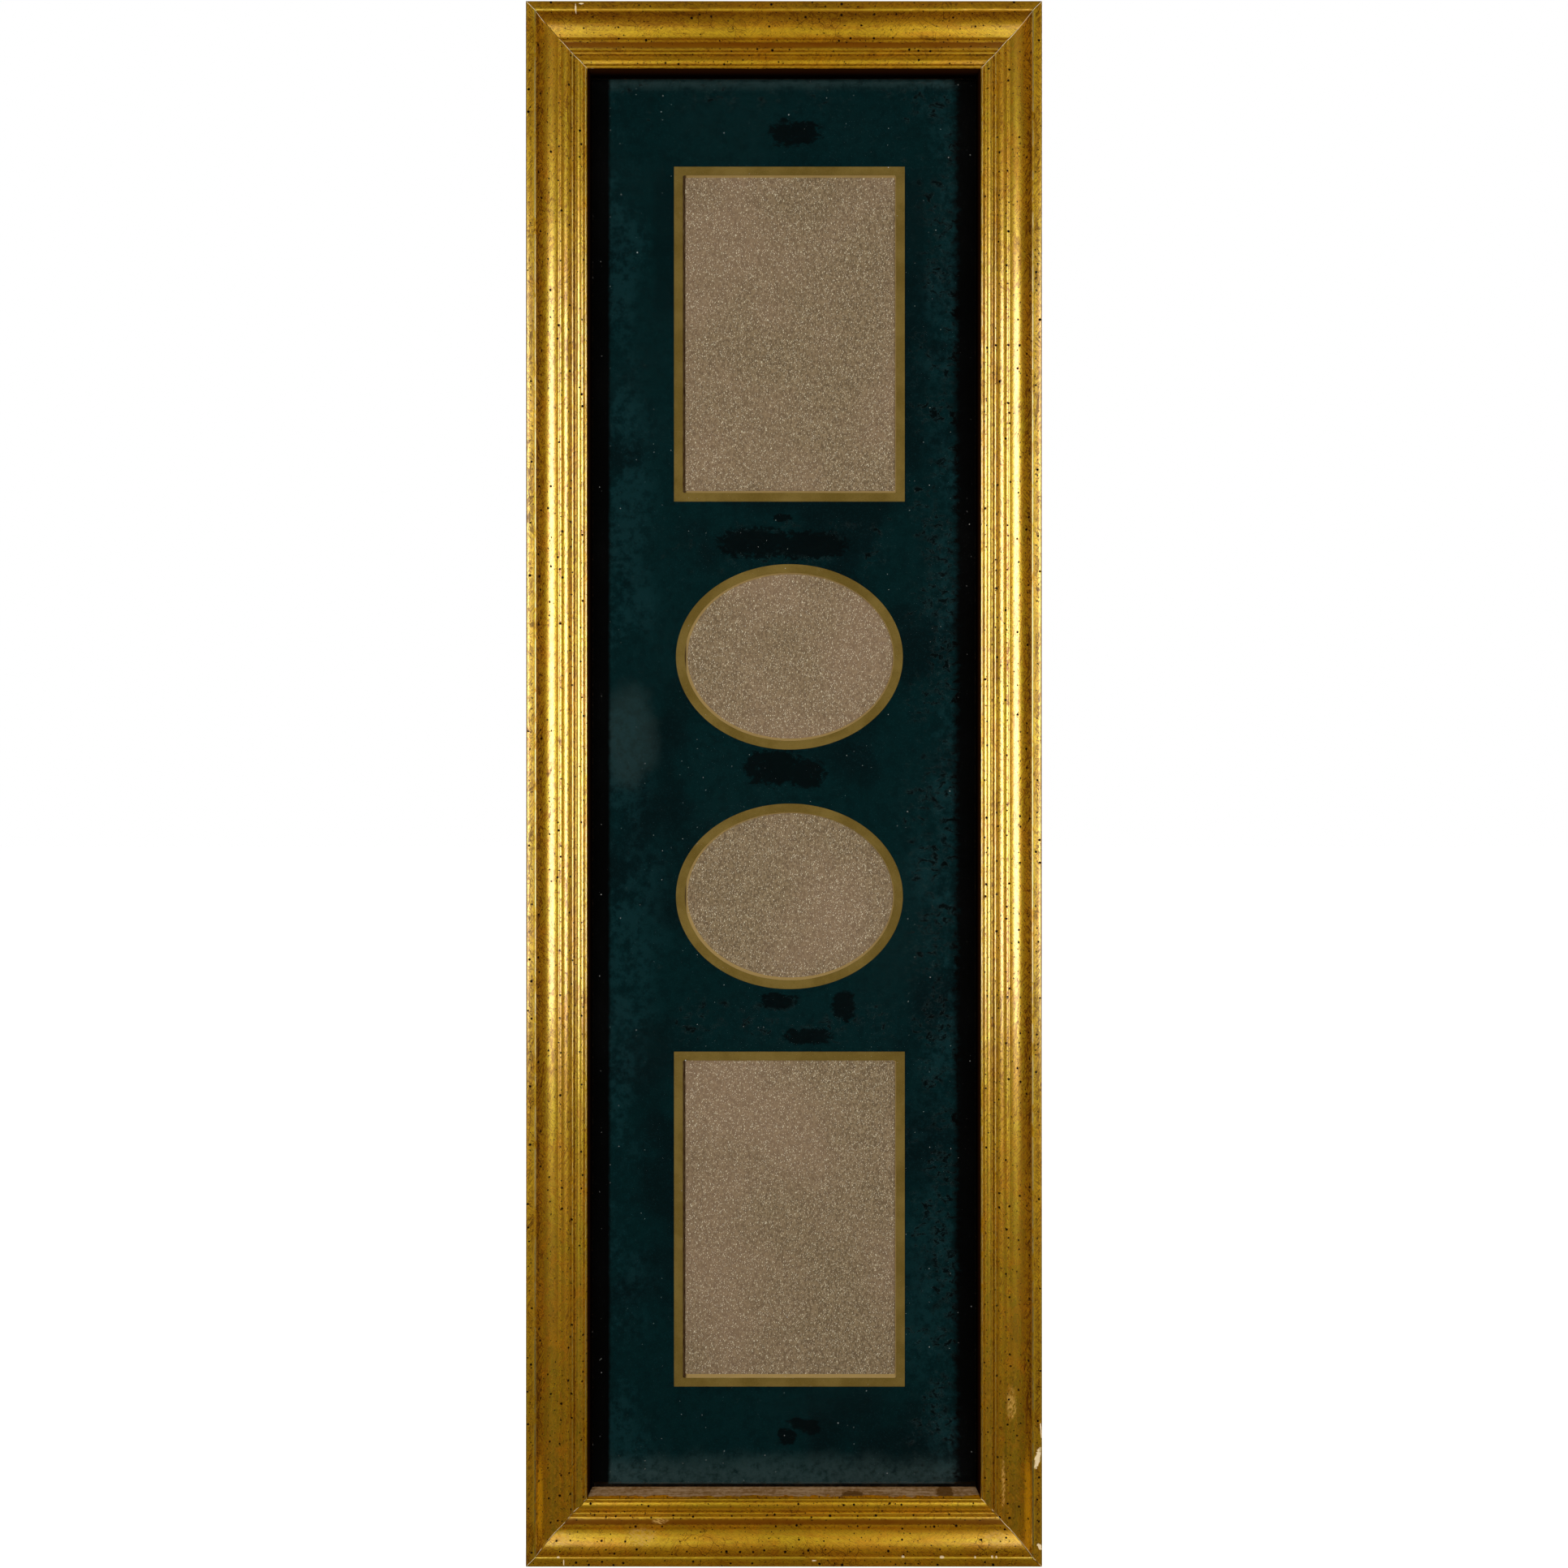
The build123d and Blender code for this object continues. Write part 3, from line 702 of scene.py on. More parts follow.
# Windows of the mat: middle, half width and half height; the band is printed round each
windows = {
    "middleX": 2.4 * mm, "middleZ": centreZ + 2.7 * mm, "band": 3.85 * mm, "bevel": 0.75 * mm,
    "uprightHalf": (47.3 * mm, 70.4 * mm), "ovalHalf": (46.45 * mm, 37.25 * mm), "cornerRound": 0.7 * mm,
    "backShift": (0.35 * mm, 0.30 * mm), "uprightRise": 196.25 * mm, "ovalRise": 53.1 * mm,
    "ovalCuts": 120, "cornerCuts": 5,
}
windowRows = [
    (windows["uprightRise"], False), (windows["ovalRise"], True),
    (-windows["ovalRise"], True), (-windows["uprightRise"], False),
]
matLook = {
    "green": shade(0, 26, 28), "greenDeep": shade(0, 16, 18), "greenWorn": shade(14, 45, 49),
    "black": shade(0, 0, 0), "haze": shade(58, 74, 74), "blotch": shade(0, 5, 6), "band": shade(100, 80, 33),
    "bandLight": shade(116, 95, 46), "bandDark": shade(84, 65, 24), "coreLit": shade(176, 146, 92),
    "coreShaded": shade(52, 30, 16), "core": shade(150, 124, 84), "strip": 77.4 * mm,
}

# Dark worn places of the print: x, height above the middle, half width, half height, in millimetres
blotches = [
    (4.9, 288, 11, 5.5), (-13, 106.5, 15, 6.5), (11, 105.5, 17, 6.0), (-0.5, 117.5, 4, 1.6),
    (-4, 6.5, 14, 7.5), (9, 4.0, 9, 6.0), (-2.3, -97.2, 8, 3.5), (26.5, -99, 5, 6), (10.3, -112.3, 10, 3.5),
    (6.7, -284.4, 5, 2.5), (1.3, -290, 4, 3.5), (12, -286, 4, 3),
]


# One window's outline, at its own size plus grow
def windowLoop(rise, oval, grow, shift):
    half = windows["ovalHalf"] if oval else windows["uprightHalf"]
    wide, high = half[0] + grow, half[1] + grow
    middle = Vector((windows["middleX"] + shift[0], 0, windows["middleZ"] + rise + shift[1]))
    if oval:
        turns = [2 * math.pi * k / windows["ovalCuts"] for k in range(windows["ovalCuts"])]
        return [middle + Vector((wide * math.cos(t), 0, high * math.sin(t))) for t in turns]
    loop = []
    bend = windows["cornerRound"]
    for number, (sideX, sideZ) in enumerate(((1, 1), (-1, 1), (-1, -1), (1, -1))):
        for k in range(windows["cornerCuts"] + 1):
            turn = math.radians(90 * (number + k / windows["cornerCuts"]))
            corner = Vector((sideX * (wide - bend), 0, sideZ * (high - bend)))
            loop.append(middle + corner + bend * Vector((math.cos(turn), 0, math.sin(turn))))
    return loop


# The mat: a card with bevelled windows
def makeMat(material):
    low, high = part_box("mat_board")
    corners = ((low.x, low.z), (high.x, low.z), (high.x, high.z), (low.x, high.z))
    outer = [Vector((x, 0, z)) for x, z in corners]
    build = bmesh.new()
    rings = []
    for level, grow, shift in ((low.y, 0.0, (0.0, 0.0)), (high.y, -windows["bevel"], windows["backShift"])):
        loops = [outer] + [windowLoop(rise, oval, grow, shift) for rise, oval in windowRows]
        edges = []
        ring = []
        for loop in loops:
            verts = [build.verts.new((p.x, level, p.z)) for p in loop]
            edges += [build.edges.new((verts[k - 1], verts[k])) for k in range(len(verts))]
            ring.append(verts)
        bmesh.ops.triangle_fill(build, edges=edges, use_beauty=True)
        rings.append(ring)
    for front, back in zip(*rings):
        for k in range(len(front)):
            build.faces.new((front[k - 1], front[k], back[k], back[k - 1]))
    bmesh.ops.recalc_face_normals(build, faces=build.faces)
    card = builtObject("matCard", build, material)
    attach(card, "frame")
    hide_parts("mat_board")


# How far a place is outside the nearest window's band, in metres; below zero is in it
def bandField(x, z, grow):
    fields = []
    for rise, oval in windowRows:
        wide, high = [size + grow for size in (windows["ovalHalf"] if oval else windows["uprightHalf"])]
        awayX = abs(x - windows["middleX"])
        awayZ = abs(z - (windows["middleZ"] + rise))
        if oval:
            reach = calc("SQRT", (awayX / wide) ** 2.0 + (awayZ / high) ** 2.0)
            fields.append((reach - 1.0) * high)
        else:
            fields.append(largest(awayX - wide, awayZ - high))
    return smallest(*fields)


def makeMatLook():
    material, tree, shader = newMaterial("printedMat")
    place = objectPlace(tree)
    x, y, z = parted(place)
    rise = z - centreZ
    sideways = abs(x)
    fine = noise(place, 1500, 3, 0.7)
    mottle = noise(place, 330, 5, 0.7)
    drift = noise(place, 70, 4, 0.6)

    # Paler, worn print in clouds down both sides, deeper green towards the windows
    cloud = noise(scaled(place, (1, 1, 0.7)), 24, 5, 0.65)
    sides = fade(sideways + swing(cloud, 70 * mm), 56 * mm, 76 * mm)
    worn = (sides * 0.85 + 0.1) * fade(cloud + swing(mottle, 0.9), 0.44, 0.66)
    broad = fade(noise(place, 13, 3) + swing(drift, 0.2), 0.38, 0.5)
    green = mixed(broad, matLook["greenDeep"], matLook["green"])
    green = mixed(worn * 0.55, green, matLook["greenWorn"])
    green = mixed(fade(fine, 0.5, 0.74) * 0.5, green, matLook["greenWorn"])
    green = mixed(fade(mottle, 0.54, 0.36) * 0.4, green, matLook["greenDeep"])

    # Small torn flecks: along the top, between the windows and down the right side
    torn = noise(scaled(place, (1, 1, 1.4)), 230, 5, 0.75, 0.6) - 0.5
    fleckSide = fade(x, 44 * mm, 66 * mm)
    fleckTop = fade(rise, 292 * mm, 304 * mm)
    between = abs(abs(rise) - 105 * mm)
    fleckMiddle = (1 - fade(between, 6 * mm, 16 * mm)) * (1 - fade(sideways, 40 * mm, 56 * mm))
    tear = torn + largest(fleckSide * 1.3, fleckTop, fleckMiddle) * 0.1
    drifted = fade(drift, 0.44, 0.54)
    fleck = fade(tear, 0.166, 0.188) * drifted
    curl = fade(tear, 0.144, 0.166) * ((1 - fleck) * drifted)
    green = mixed(curl * 0.3, green, matLook["haze"])
    green = mixed(fleck * 0.9, green, matLook["blotch"])

    # Larger dark places with rough, broken edges
    fields = []
    for atX, atZ, halfX, halfZ in blotches:
        wide = (x - atX * mm) / (halfX * mm)
        high = (rise - atZ * mm) / (halfZ * mm)
        fields.append(abs(wide) ** 2.6 + abs(high) ** 2.6)
    blotch = 1 - fade(smallest(*fields) + torn * 6.5, 0.75, 1.25)
    green = mixed(blotch * 0.88, green, matLook["blotch"])

    # Two soft dark halos beside the first window, and a grey bloom on the left
    halo = abs(x - windows["middleX"])
    halo = fade(halo + swing(drift, 7 * mm), 62 * mm, 58 * mm)
    halo = halo * fade(abs(rise - 239 * mm), 36 * mm, 25 * mm)
    green = mixed(halo * 0.5, green, matLook["greenDeep"])
    bloomAt = (x + 69 * mm) / (15 * mm)
    bloomUp = (rise - 21.6 * mm) / (26 * mm)
    bloom = bloomAt * bloomAt + bloomUp * bloomUp
    bloom = 1 - fade(bloom + swing(drift, 1.6), 0.1, 1.2)
    green = mixed(bloom * 0.2, green, matLook["haze"])

    # Pale haze against the top and bottom rails
    ragged = swing(noise(place, 60, 4), 14 * mm)
    down = rise * -1.0
    hazeFoot = fade(down + ragged * fade(down, 0.3105, 0.296), 0.2945, 0.3075)
    hazeTop = fade(rise + ragged * 0.25, 0.3055, 0.3105)
    haze = (hazeFoot * 0.45 + hazeTop * 0.28) * fade(mottle, 0.2, 0.62)
    green = mixed(haze, green, matLook["haze"])

    # Painted shadow: black strips beside the long rails, where the rails shade the mat, and black lines under
    # the top and bottom lips, where the lips and the glass gap shade it
    rightSide = fade(x, -1 * mm, 1 * mm)
    rough = torn * (2.0 * mm + rightSide * (9 * mm))
    softEdge = calc("MULTIPLY_ADD", rightSide, -3.0 * mm, matLook["strip"] - 1.0 * mm)
    strip = fade(sideways + rough, softEdge, matLook["strip"] + 0.8 * mm)
    ends = largest(fade(down, 310.7 * mm, 311.0 * mm), fade(rise, 311.8 * mm, 312.0 * mm))
    green = mixed(largest(strip, ends) * 0.98, green, matLook["black"])

    band = 1 - fade(bandField(x, z, windows["band"]), -0.06 * mm, 0.06 * mm)
    bandTone = mixed(fade(drift, 0.35, 0.65), matLook["band"], matLook["bandLight"])
    bandTone = mixed(fade(fine, 0.45, 0.75) * 0.4, bandTone, matLook["bandLight"])
    bandTone = mixed(fade(fine, 0.48, 0.28) * 0.3, bandTone, matLook["bandDark"])
    colour = mixed(band, green, bandTone)

    # The cut edge: layered card, with painted shade on the left side of each window and a painted highlight,
    # a pale lit edge, round the rest
    cutEdge = calc("GREATER_THAN", y, matFront + 0.03 * mm)
    layers = noise(scaled(place, (0.3, 4.0, 0.3)), 900, 3, 0.6)
    litSide = fade(x - windows["middleX"], -46.3 * mm, -45.3 * mm)
    core = mixed(litSide, matLook["coreShaded"], matLook["coreLit"])
    core = mixed(fade(layers, 0.4, 0.7) * 0.35, core, matLook["core"])
    colour = mixed(cutEdge, colour, core)
    relief = bumped(fine + largest(fleck, blotch) * -0.8, 0.3, 0.06 * mm)
    feedAll(shader, {"Base Color": colour, "Roughness": 0.85, "Specular IOR Level": 0.03, "Normal": relief})
    return material


# The board seen through the windows: pulp with flecks of mica, plain grey behind
boardLook = {
    "paper": shade(138, 116, 88), "paperDark": shade(100, 81, 58), "paperPink": shade(144, 115, 94),
    "mica": shade(224, 212, 186), "micaDark": shade(78, 62, 46), "greyBack": shade(142, 126, 104),
    "greyDark": shade(112, 98, 80), "slant": 40,
    "sparkles": ((1500, 0.18, 0.26), (800, 0.04, 0.18), (2500, 0.24, 0.32)),
}


def makeBoardLook():
    material, tree, shader = newMaterial("speckledBoard")
    place = objectPlace(tree)
    y = parted(place)[1]
    slanted = newNode(tree, "ShaderNodeMapping", {
        "Vector": place, "Rotation": (0, math.radians(boardLook["slant"]), 0), "Scale": (1, 1, 0.55)})
    grain = noise(slanted, 1500, 4, 0.7)
    cloud = noise(place, 18, 3)
    colour = mixed(fade(grain, 0.4, 0.6), boardLook["paperDark"], boardLook["paper"])
    colour = mixed(fade(cloud, 0.35, 0.7) * 0.4, colour, boardLook["paperPink"])
    turned = parted(slanted)
    flatPlace = joined(turned[0], turned[2], 0.0)
    sparkle = dots(flatPlace, boardLook["sparkles"], 0.4)
    dark = cells(place, 900)
    darkPick = calc("LESS_THAN", parted(dark.outputs["Color"])[0], 0.07)
    darkDot = darkPick * (1 - fade(dark.outputs["Distance"], 0.12, 0.34))
    colour = mixed(darkDot * 0.5, colour, boardLook["micaDark"])
    colour = mixed(sparkle * 0.85, colour, boardLook["mica"])
    fibres = noise(scaled(place, (1, 1, 0.25)), 1200, 4, 0.65)
    grey = mixed(fade(fibres, 0.35, 0.65), boardLook["greyDark"], boardLook["greyBack"])
    rear = calc("GREATER_THAN", y, boardFront + 0.05 * mm)
    colour = mixed(rear, colour, grey)
    feedAll(shader, {
        "Base Color": colour, "Roughness": 0.8 - sparkle * 0.45, "Specular IOR Level": 0.3,
        "Normal": bumped(grain + sparkle * 0.5, 0.3, 0.05 * mm),
    })
    return material


# Glass: clear, with a faint haze, smears and specks of dust
glassLook = {
    "clear": (0.985, 0.995, 0.988, 1), "roughness": 0.03, "bounce": 1.5, "filmShare": 0.0015,
    "speck": shade(226, 226, 222), "dust": ((45, 0.1, 0.011), (110, 0.12, 0.018), (260, 0.05, 0.03)),
}


def makeGlassLook():
    material, tree, shader = newMaterial("dustyGlass")
    tree.nodes.remove(shader)
    place = objectPlace(tree)
    x, y, z = parted(place)
    front = 1 - Flow(newNode(tree, "ShaderNodeNewGeometry").outputs["Backfacing"])
    clear = newNode(tree, "ShaderNodeBsdfTransparent", {"Color": glassLook["clear"]})
    mirror = newNode(tree, "ShaderNodeBsdfGlossy", {"Roughness": glassLook["roughness"]})
    bounce = newNode(tree, "ShaderNodeFresnel", {"IOR": glassLook["bounce"]})
    pane = blended(bounce * front, clear, mirror)

    haze = fade(noise(place, 12, 4, 0.6), 0.45, 0.75)
    smear = fade(noise(scaled(place, (1, 1, 0.5)), 130, 4, 0.6), 0.5, 0.8)
    dust = dots(joined(x, z, 0.0), glassLook["dust"], 0.4)
    film = haze * glassLook["filmShare"] + smear * (glassLook["filmShare"] * 0.5) + dust * 0.7
    film = film * calc("LESS_THAN", y, glassFront + 0.05 * mm)
    powder = newNode(tree, "ShaderNodeBsdfDiffuse", {"Color": glassLook["speck"]})
    dusty = blended(film, pane, powder)
    showSurface(tree, dusty)
    return material


# Metal fittings: bright, dark and stained colour, roughness, and how the brushed streaks are stretched
metals = {
    "platedButton": (
        (0.56, 0.56, 0.53, 1), (0.40, 0.40, 0.37, 1), (0.26, 0.24, 0.19, 1), 0.28, (0.12, 1, 1)),
    "screwSteel": ((0.48, 0.48, 0.46, 1), (0.33, 0.33, 0.31, 1), (0.20, 0.17, 0.13, 1), 0.3, (1, 1, 1)),
    "nailSteel": ((0.42, 0.42, 0.42, 1), (0.26, 0.26, 0.26, 1), (0.16, 0.10, 0.06, 1), 0.35, (1, 0.3, 1)),
    "hangerBrass": ((0.80, 0.60, 0.28, 1), (0.60, 0.43, 0.17, 1), (0.30, 0.20, 0.08, 1), 0.28, (0.1, 1, 1)),
}


def makeMetalLook(name, bright, dark, stain, roughness, brush):
    material, tree, shader = newMaterial(name)
    place = objectPlace(tree)
    patches = noise(place, 130, 4, 0.6)
    brushed = noise(scaled(place, brush), 2600, 3, 0.6)
    scratch = noise(scaled(place, (3.0, 1.0, 0.4)), 1400, 2, 0.5, 1.2)
    line = fade(scratch, 0.62, 0.66) * (1 - fade(scratch, 0.66, 0.7))
    colour = mixed(fade(brushed, 0.3, 0.7), dark, bright)
    colour = mixed(fade(patches, 0.55, 0.75) * 0.6, colour, stain)
    colour = mixed(line * 0.5, colour, bright)
    feedAll(shader, {
        "Base Color": colour, "Metallic": 1.0, "Normal": bumped(brushed + line * 0.8, 0.2, 0.03 * mm),
        "Roughness": roughness + fade(patches, 0.45, 0.75) * 0.22 + swing(brushed, 0.2),
    })
    return material


feltLook = {"dark": shade(40, 36, 32), "pale": shade(96, 88, 78), "lump": shade(64, 58, 50)}


def makeFeltLook():
    material, tree, shader = newMaterial("woolFelt")
    place = objectPlace(tree)
    fibres = noise(scaled(place, (1.0, 0.6, 1.4)), 2600, 4, 0.75, 1.5)
    lumps = noise(place, 500, 3, 0.6)
    colour = mixed(fade(fibres, 0.35, 0.68), feltLook["dark"], feltLook["pale"])
    colour = mixed(fade(lumps, 0.5, 0.7) * 0.4, colour, feltLook["lump"])
    feedAll(shader, {
        "Base Color": colour, "Roughness": 0.95, "Specular IOR Level": 0.1, "Sheen Weight": 0.4,
        "Normal": bumped(fibres, 0.8, 0.25 * mm),
    })
    return material


def paint(node, material):
    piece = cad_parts[node]
    piece.data.materials.clear()
    piece.data.materials.append(material)


makeMat(makeMatLook())
paint("backing_board", makeBoardLook())
paint("glass_pane", makeGlassLook())
zinc, screwSteel, nailSteel, brass = [makeMetalLook(name, *look) for name, look in metals.items()]
felt = makeFeltLook()
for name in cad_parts:
    if name.startswith("turn_button_") and name != "turn_button_screws":
        paint(name, zinc)
paint("hanger_nails", nailSteel)
paint("sawtooth_hanger", brass)
print("finishes made")


# Screws of the turn buttons: pan heads with a cross recess, each turned its own way
screwShape = {
    "inset": 13.5 * mm, "sideSpacing": 210.0 * mm, "endSpacing": 110.0 * mm, "widest": 3.38 * mm,
    "tip": -9.9 * mm, "top": 3.15 * mm, "slotLength": 3.7 * mm, "slotWidth": 0.72 * mm, "slotDepth": 1.0 * mm,
    "sides": 36, "steps": 44, "sharpBend": 35, "seed": 5,
}

# From the tip to the top: share of the way, height and radius in millimetres
screwSteps = [
    (0.0, -9.9, 0.15), (0.15, -8.0, 0.90), (0.28, -6.5, 1.42), (0.45, 1.20, 1.42), (0.50, 1.22, 3.22),
    (0.56, 1.32, 3.36), (0.64, 1.75, 3.36), (0.73, 2.30, 3.10), (0.82, 2.75, 2.60), (0.91, 3.03, 1.80),
    (1.0, 3.15, 0.80),
]


def screwTree():
    tree, given = newTree("crossScrews", {
        "Int": ["sides", "steps", "seed"],
        "Float": ["tip", "top", "widest", "slotLength", "slotWidth", "slotDepth"]})
    rod = newNode(tree, "GeometryNodeMeshCylinder", {
        "Vertices": given["sides"], "Side Segments": given["steps"], "Radius": 1.0, "Depth": 1.0})
    x, y, z = parted(newNode(tree, "GeometryNodeInputPosition"))
    way = z + 0.5
    tip = screwShape["tip"] / mm
    span = (screwShape["top"] - screwShape["tip"]) / mm
    rise = curveOf(way, [(share, (height - tip) / span) for share, height, _ in screwSteps])
    wide = curveOf(way, [(share, radius * mm / screwShape["widest"]) for share, _, radius in screwSteps])
    wide = wide * given["widest"]
    height = calc("MULTIPLY_ADD", rise, given["top"] - given["tip"], given["tip"])
    shaped = newNode(tree, "GeometryNodeSetPosition", {
        "Geometry": rod, "Position": joined(x * wide, height, y * wide * -1.0)})
    cut = newNode(tree, "GeometryNodeMeshBoolean", (shaped,), operation="DIFFERENCE")
    for long, short, depth in (("slotLength", "slotWidth", 2.0), ("slotWidth", "slotLength", 2.2)):
        size = joined(given[long], given["slotDepth"] * depth, given[short])
        bar = newNode(tree, "GeometryNodeMeshCube", {"Size": size})
        feed(cut.inputs[1], newNode(tree, "GeometryNodeTransform", {
            "Geometry": bar, "Translation": joined(0.0, given["top"], 0.0)}))
    spin = newNode(tree, "FunctionNodeRandomValue", {3: math.pi, "Seed": given["seed"]}, data_type="FLOAT")
    spread = newNode(tree, "GeometryNodeInstanceOnPoints", {
        "Points": given["Geometry"], "Instance": cut, "Rotation": joined(0.0, spin.outputs[1], 0.0)})
    whole = newNode(tree, "GeometryNodeRealizeInstances", (spread,))
    closeTree(tree, whole, given["material"], screwShape["sharpBend"])
    return tree


def makeScrews():
    sideX, endZ = halfWidth - screwShape["inset"], halfHeight - screwShape["inset"]
    rise, halfSpan = screwShape["sideSpacing"], screwShape["endSpacing"] / 2
    places = [(x, 0, centreZ + step * rise) for x in (-sideX, sideX) for step in (-1, 0, 1)]
    places += [(x, 0, centreZ + z) for z in (-endZ, endZ) for x in (-halfSpan, halfSpan)]
    mesh = bpy.data.meshes.new("screwPlaces")
    mesh.from_pydata(places, [], [])
    screws = grown("buttonScrews", mesh, screwTree(), {**screwShape, "material": screwSteel})
    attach(screws, "frame")
    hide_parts("turn_button_screws")
    print("screws made,", len(screws.data.polygons), "faces")


# Felt pads: soft-edged blocks with loose fibres
padShape = {
    "corner": 1.0 * mm, "skin": 0.22 * mm, "lump": 0.30 * mm, "fibre": 0.75 * mm, "thick": 0.035 * mm,
    "count": 1500, "faceArea": 4 * 5 * mm * 5 * mm, "cuts": (34, 14, 34), "seed": 11,
}


def padTree():
    tree, given = newTree("feltPad", {
        "Vector": ["middle", "halfSize"], "Float": ["corner", "skin", "lump", "fibre", "thick"],
        "Int": ["count", "seed"]})

    def even(value):
        return joined(value, value, value)

    # A block with round corners, then a lumpy skin
    here = newNode(tree, "GeometryNodeInputPosition")
    half = vectorCalc("SUBTRACT", given["halfSize"], even(given["skin"]))
    block = newNode(tree, "GeometryNodeMeshCube", (scaled(half, (2, 2, 2)), *padShape["cuts"]))
    core = vectorCalc("SUBTRACT", half, even(given["corner"]))
    out = vectorCalc("ABSOLUTE", here)
    beyond = vectorCalc("MAXIMUM", vectorCalc("SUBTRACT", out, core), (0, 0, 0))
    bx, by, bz = parted(beyond)
    reach = calc("SQRT", bx * bx + (by * by + bz * bz))
    pull = smallest(1.0, given["corner"] / largest(reach, 0.0001 * mm))
    rounded = vectorCalc("ADD", vectorCalc("MINIMUM", out, core), scaled(beyond, even(pull)))
    rounded = scaled(rounded, vectorCalc("SIGN", here))
    shaped = newNode(tree, "GeometryNodeSetPosition", {"Geometry": block, "Position": rounded})
    lumps = swing(noise(here, 900, 3), given["lump"])
    normal = newNode(tree, "GeometryNodeInputNormal")
    soft = newNode(tree, "GeometryNodeSetPosition", {
        "Geometry": shaped, "Offset": scaled(normal, even(lumps))})

    # Loose fibres, kept inside the pad's own box
    roots = newNode(tree, "GeometryNodeDistributePointsOnFaces", {
        "Mesh": soft, "Density": given["count"] / padShape["faceArea"], "Seed": given["seed"]})
    fibre = newNode(tree, "GeometryNodeMeshCone", {
        "Vertices": 4, "Radius Top": 0.0, "Radius Bottom": given["thick"], "Depth": given["fibre"]})
    lean = newNode(tree, "FunctionNodeRandomValue", {
        1: (math.pi, math.pi, math.pi), "Seed": given["seed"]}, data_type="FLOAT_VECTOR")
    spread = newNode(tree, "GeometryNodeInstanceOnPoints", {
        "Points": roots, "Instance": fibre, "Rotation": lean})
    both = newNode(tree, "GeometryNodeJoinGeometry", (soft,))
    feed(both.inputs[0], spread)
    whole = newNode(tree, "GeometryNodeRealizeInstances", (both,))
    kept = vectorCalc("MINIMUM", here, given["halfSize"])
    kept = vectorCalc("MAXIMUM", kept, scaled(given["halfSize"], (-1, -1, -1)))
    inside = newNode(tree, "GeometryNodeSetPosition", {
        "Geometry": whole, "Position": vectorCalc("ADD", kept, given["middle"])})
    closeTree(tree, inside, given["material"])
    return tree


def makePads():
    tree = padTree()
    for number, side in enumerate(("left", "right")):
        low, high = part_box("wall_bumper_" + side)
        pad = grown(side + "Pad", bpy.data.meshes.new(side + "PadStart"), tree, {
            **padShape, "middle": tuple((low + high) / 2), "halfSize": tuple((high - low) / 2),
            "seed": padShape["seed"] + number, "material": felt,
        })
        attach(pad, "frame")
        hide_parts("wall_bumper_" + side)
        print(side, "pad made,", len(pad.data.polygons), "faces")


# Corner nails: two Vs driven over each mitre, their tops level with the back of the rails
nailShape = {
    "leg": 4.6 * mm, "gauge": 0.5 * mm, "halfAngle": 50.0, "length": 10.0 * mm, "proud": 0.02 * mm,
    "shares": (0.32, 0.74), "edgeRound": 0.06 * mm, "roundedBend": 0.5,
}


def makeCornerNails():
    angle = math.radians(nailShape["halfAngle"])
    tip = Vector((math.cos(angle), math.sin(angle))) * nailShape["leg"]
    side = Vector((-math.sin(angle), math.cos(angle))) * nailShape["gauge"] / 2
    point = Vector((nailShape["gauge"] / 2 / math.sin(angle), 0))
    half = [-point, tip + side, tip - side, point]
    outline = half + [Vector((p.x, -p.y)) for p in (half[2], half[1])]
    mitreLength = (sum(moulding[member] for member in members) - moulding["rabbetWidth"]) * math.sqrt(2)
    for upName, up in (("top", 1), ("bottom", -1)):
        for sideName, out in (("left", -1), ("right", 1)):
            corner = Vector((out * halfWidth, centreZ + up * halfHeight))
            along = Vector((-out, -up)).normalized()
            across = Vector((-along.y, along.x))
            build = bmesh.new()
            for share in nailShape["shares"]:
                rings = []
                for level in (nailShape["proud"], nailShape["proud"] - nailShape["length"]):
                    flat = [corner + along * (p.x + share * mitreLength) + across * p.y for p in outline]
                    rings.append([build.verts.new((p.x, level, p.y)) for p in flat])
                for k in range(len(outline)):
                    build.faces.new((rings[0][k - 1], rings[0][k], rings[1][k], rings[1][k - 1]))
                for ring in rings:
                    build.faces.new((ring[0], ring[1], ring[2], ring[3]))
                    build.faces.new((ring[0], ring[3], ring[4], ring[5]))
            bmesh.ops.recalc_face_normals(build, faces=build.faces)
            edges = [e for e in build.edges
                     if len(e.link_faces) == 2 and e.calc_face_angle() > nailShape["roundedBend"]]
            bmesh.ops.bevel(build, geom=edges, offset=nailShape["edgeRound"], segments=2, affect="EDGES")
            nails = builtObject("cornerNails" + upName.title() + sideName.title(), build, nailSteel)
            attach(nails, "frame")
            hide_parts("corner_nails_" + upName + "_" + sideName)


makeScrews()
makePads()
makeCornerNails()
print("back hardware made")


# Floor, dark card behind the camera, lamps and world
studio = {
    "floorGap": 0.4 * mm, "floorSize": 8.0, "floorPale": (0.82, 0.82, 0.82, 1), "shadowShare": 0.8,
    "floorGlow": 4.36, "roomRadius": 2.6, "roomOpen": 1.6, "roomLevel": 0.012,
    "roomTint": (1.0, 0.86, 0.66, 1), "worldLevel": 0.20, "boxAzimuth": 29.0, "boxDistance": 1.02,
    "boxWidth": 0.37, "boxHeight": 0.86, "boxHeightAt": -0.20, "boxLevel": 5.1,
    "boxTint": (1.0, 0.985, 0.955), "backPlace": (0.45, 1.05, 0.30), "backSize": 0.8, "backLevel": 5.0,
}


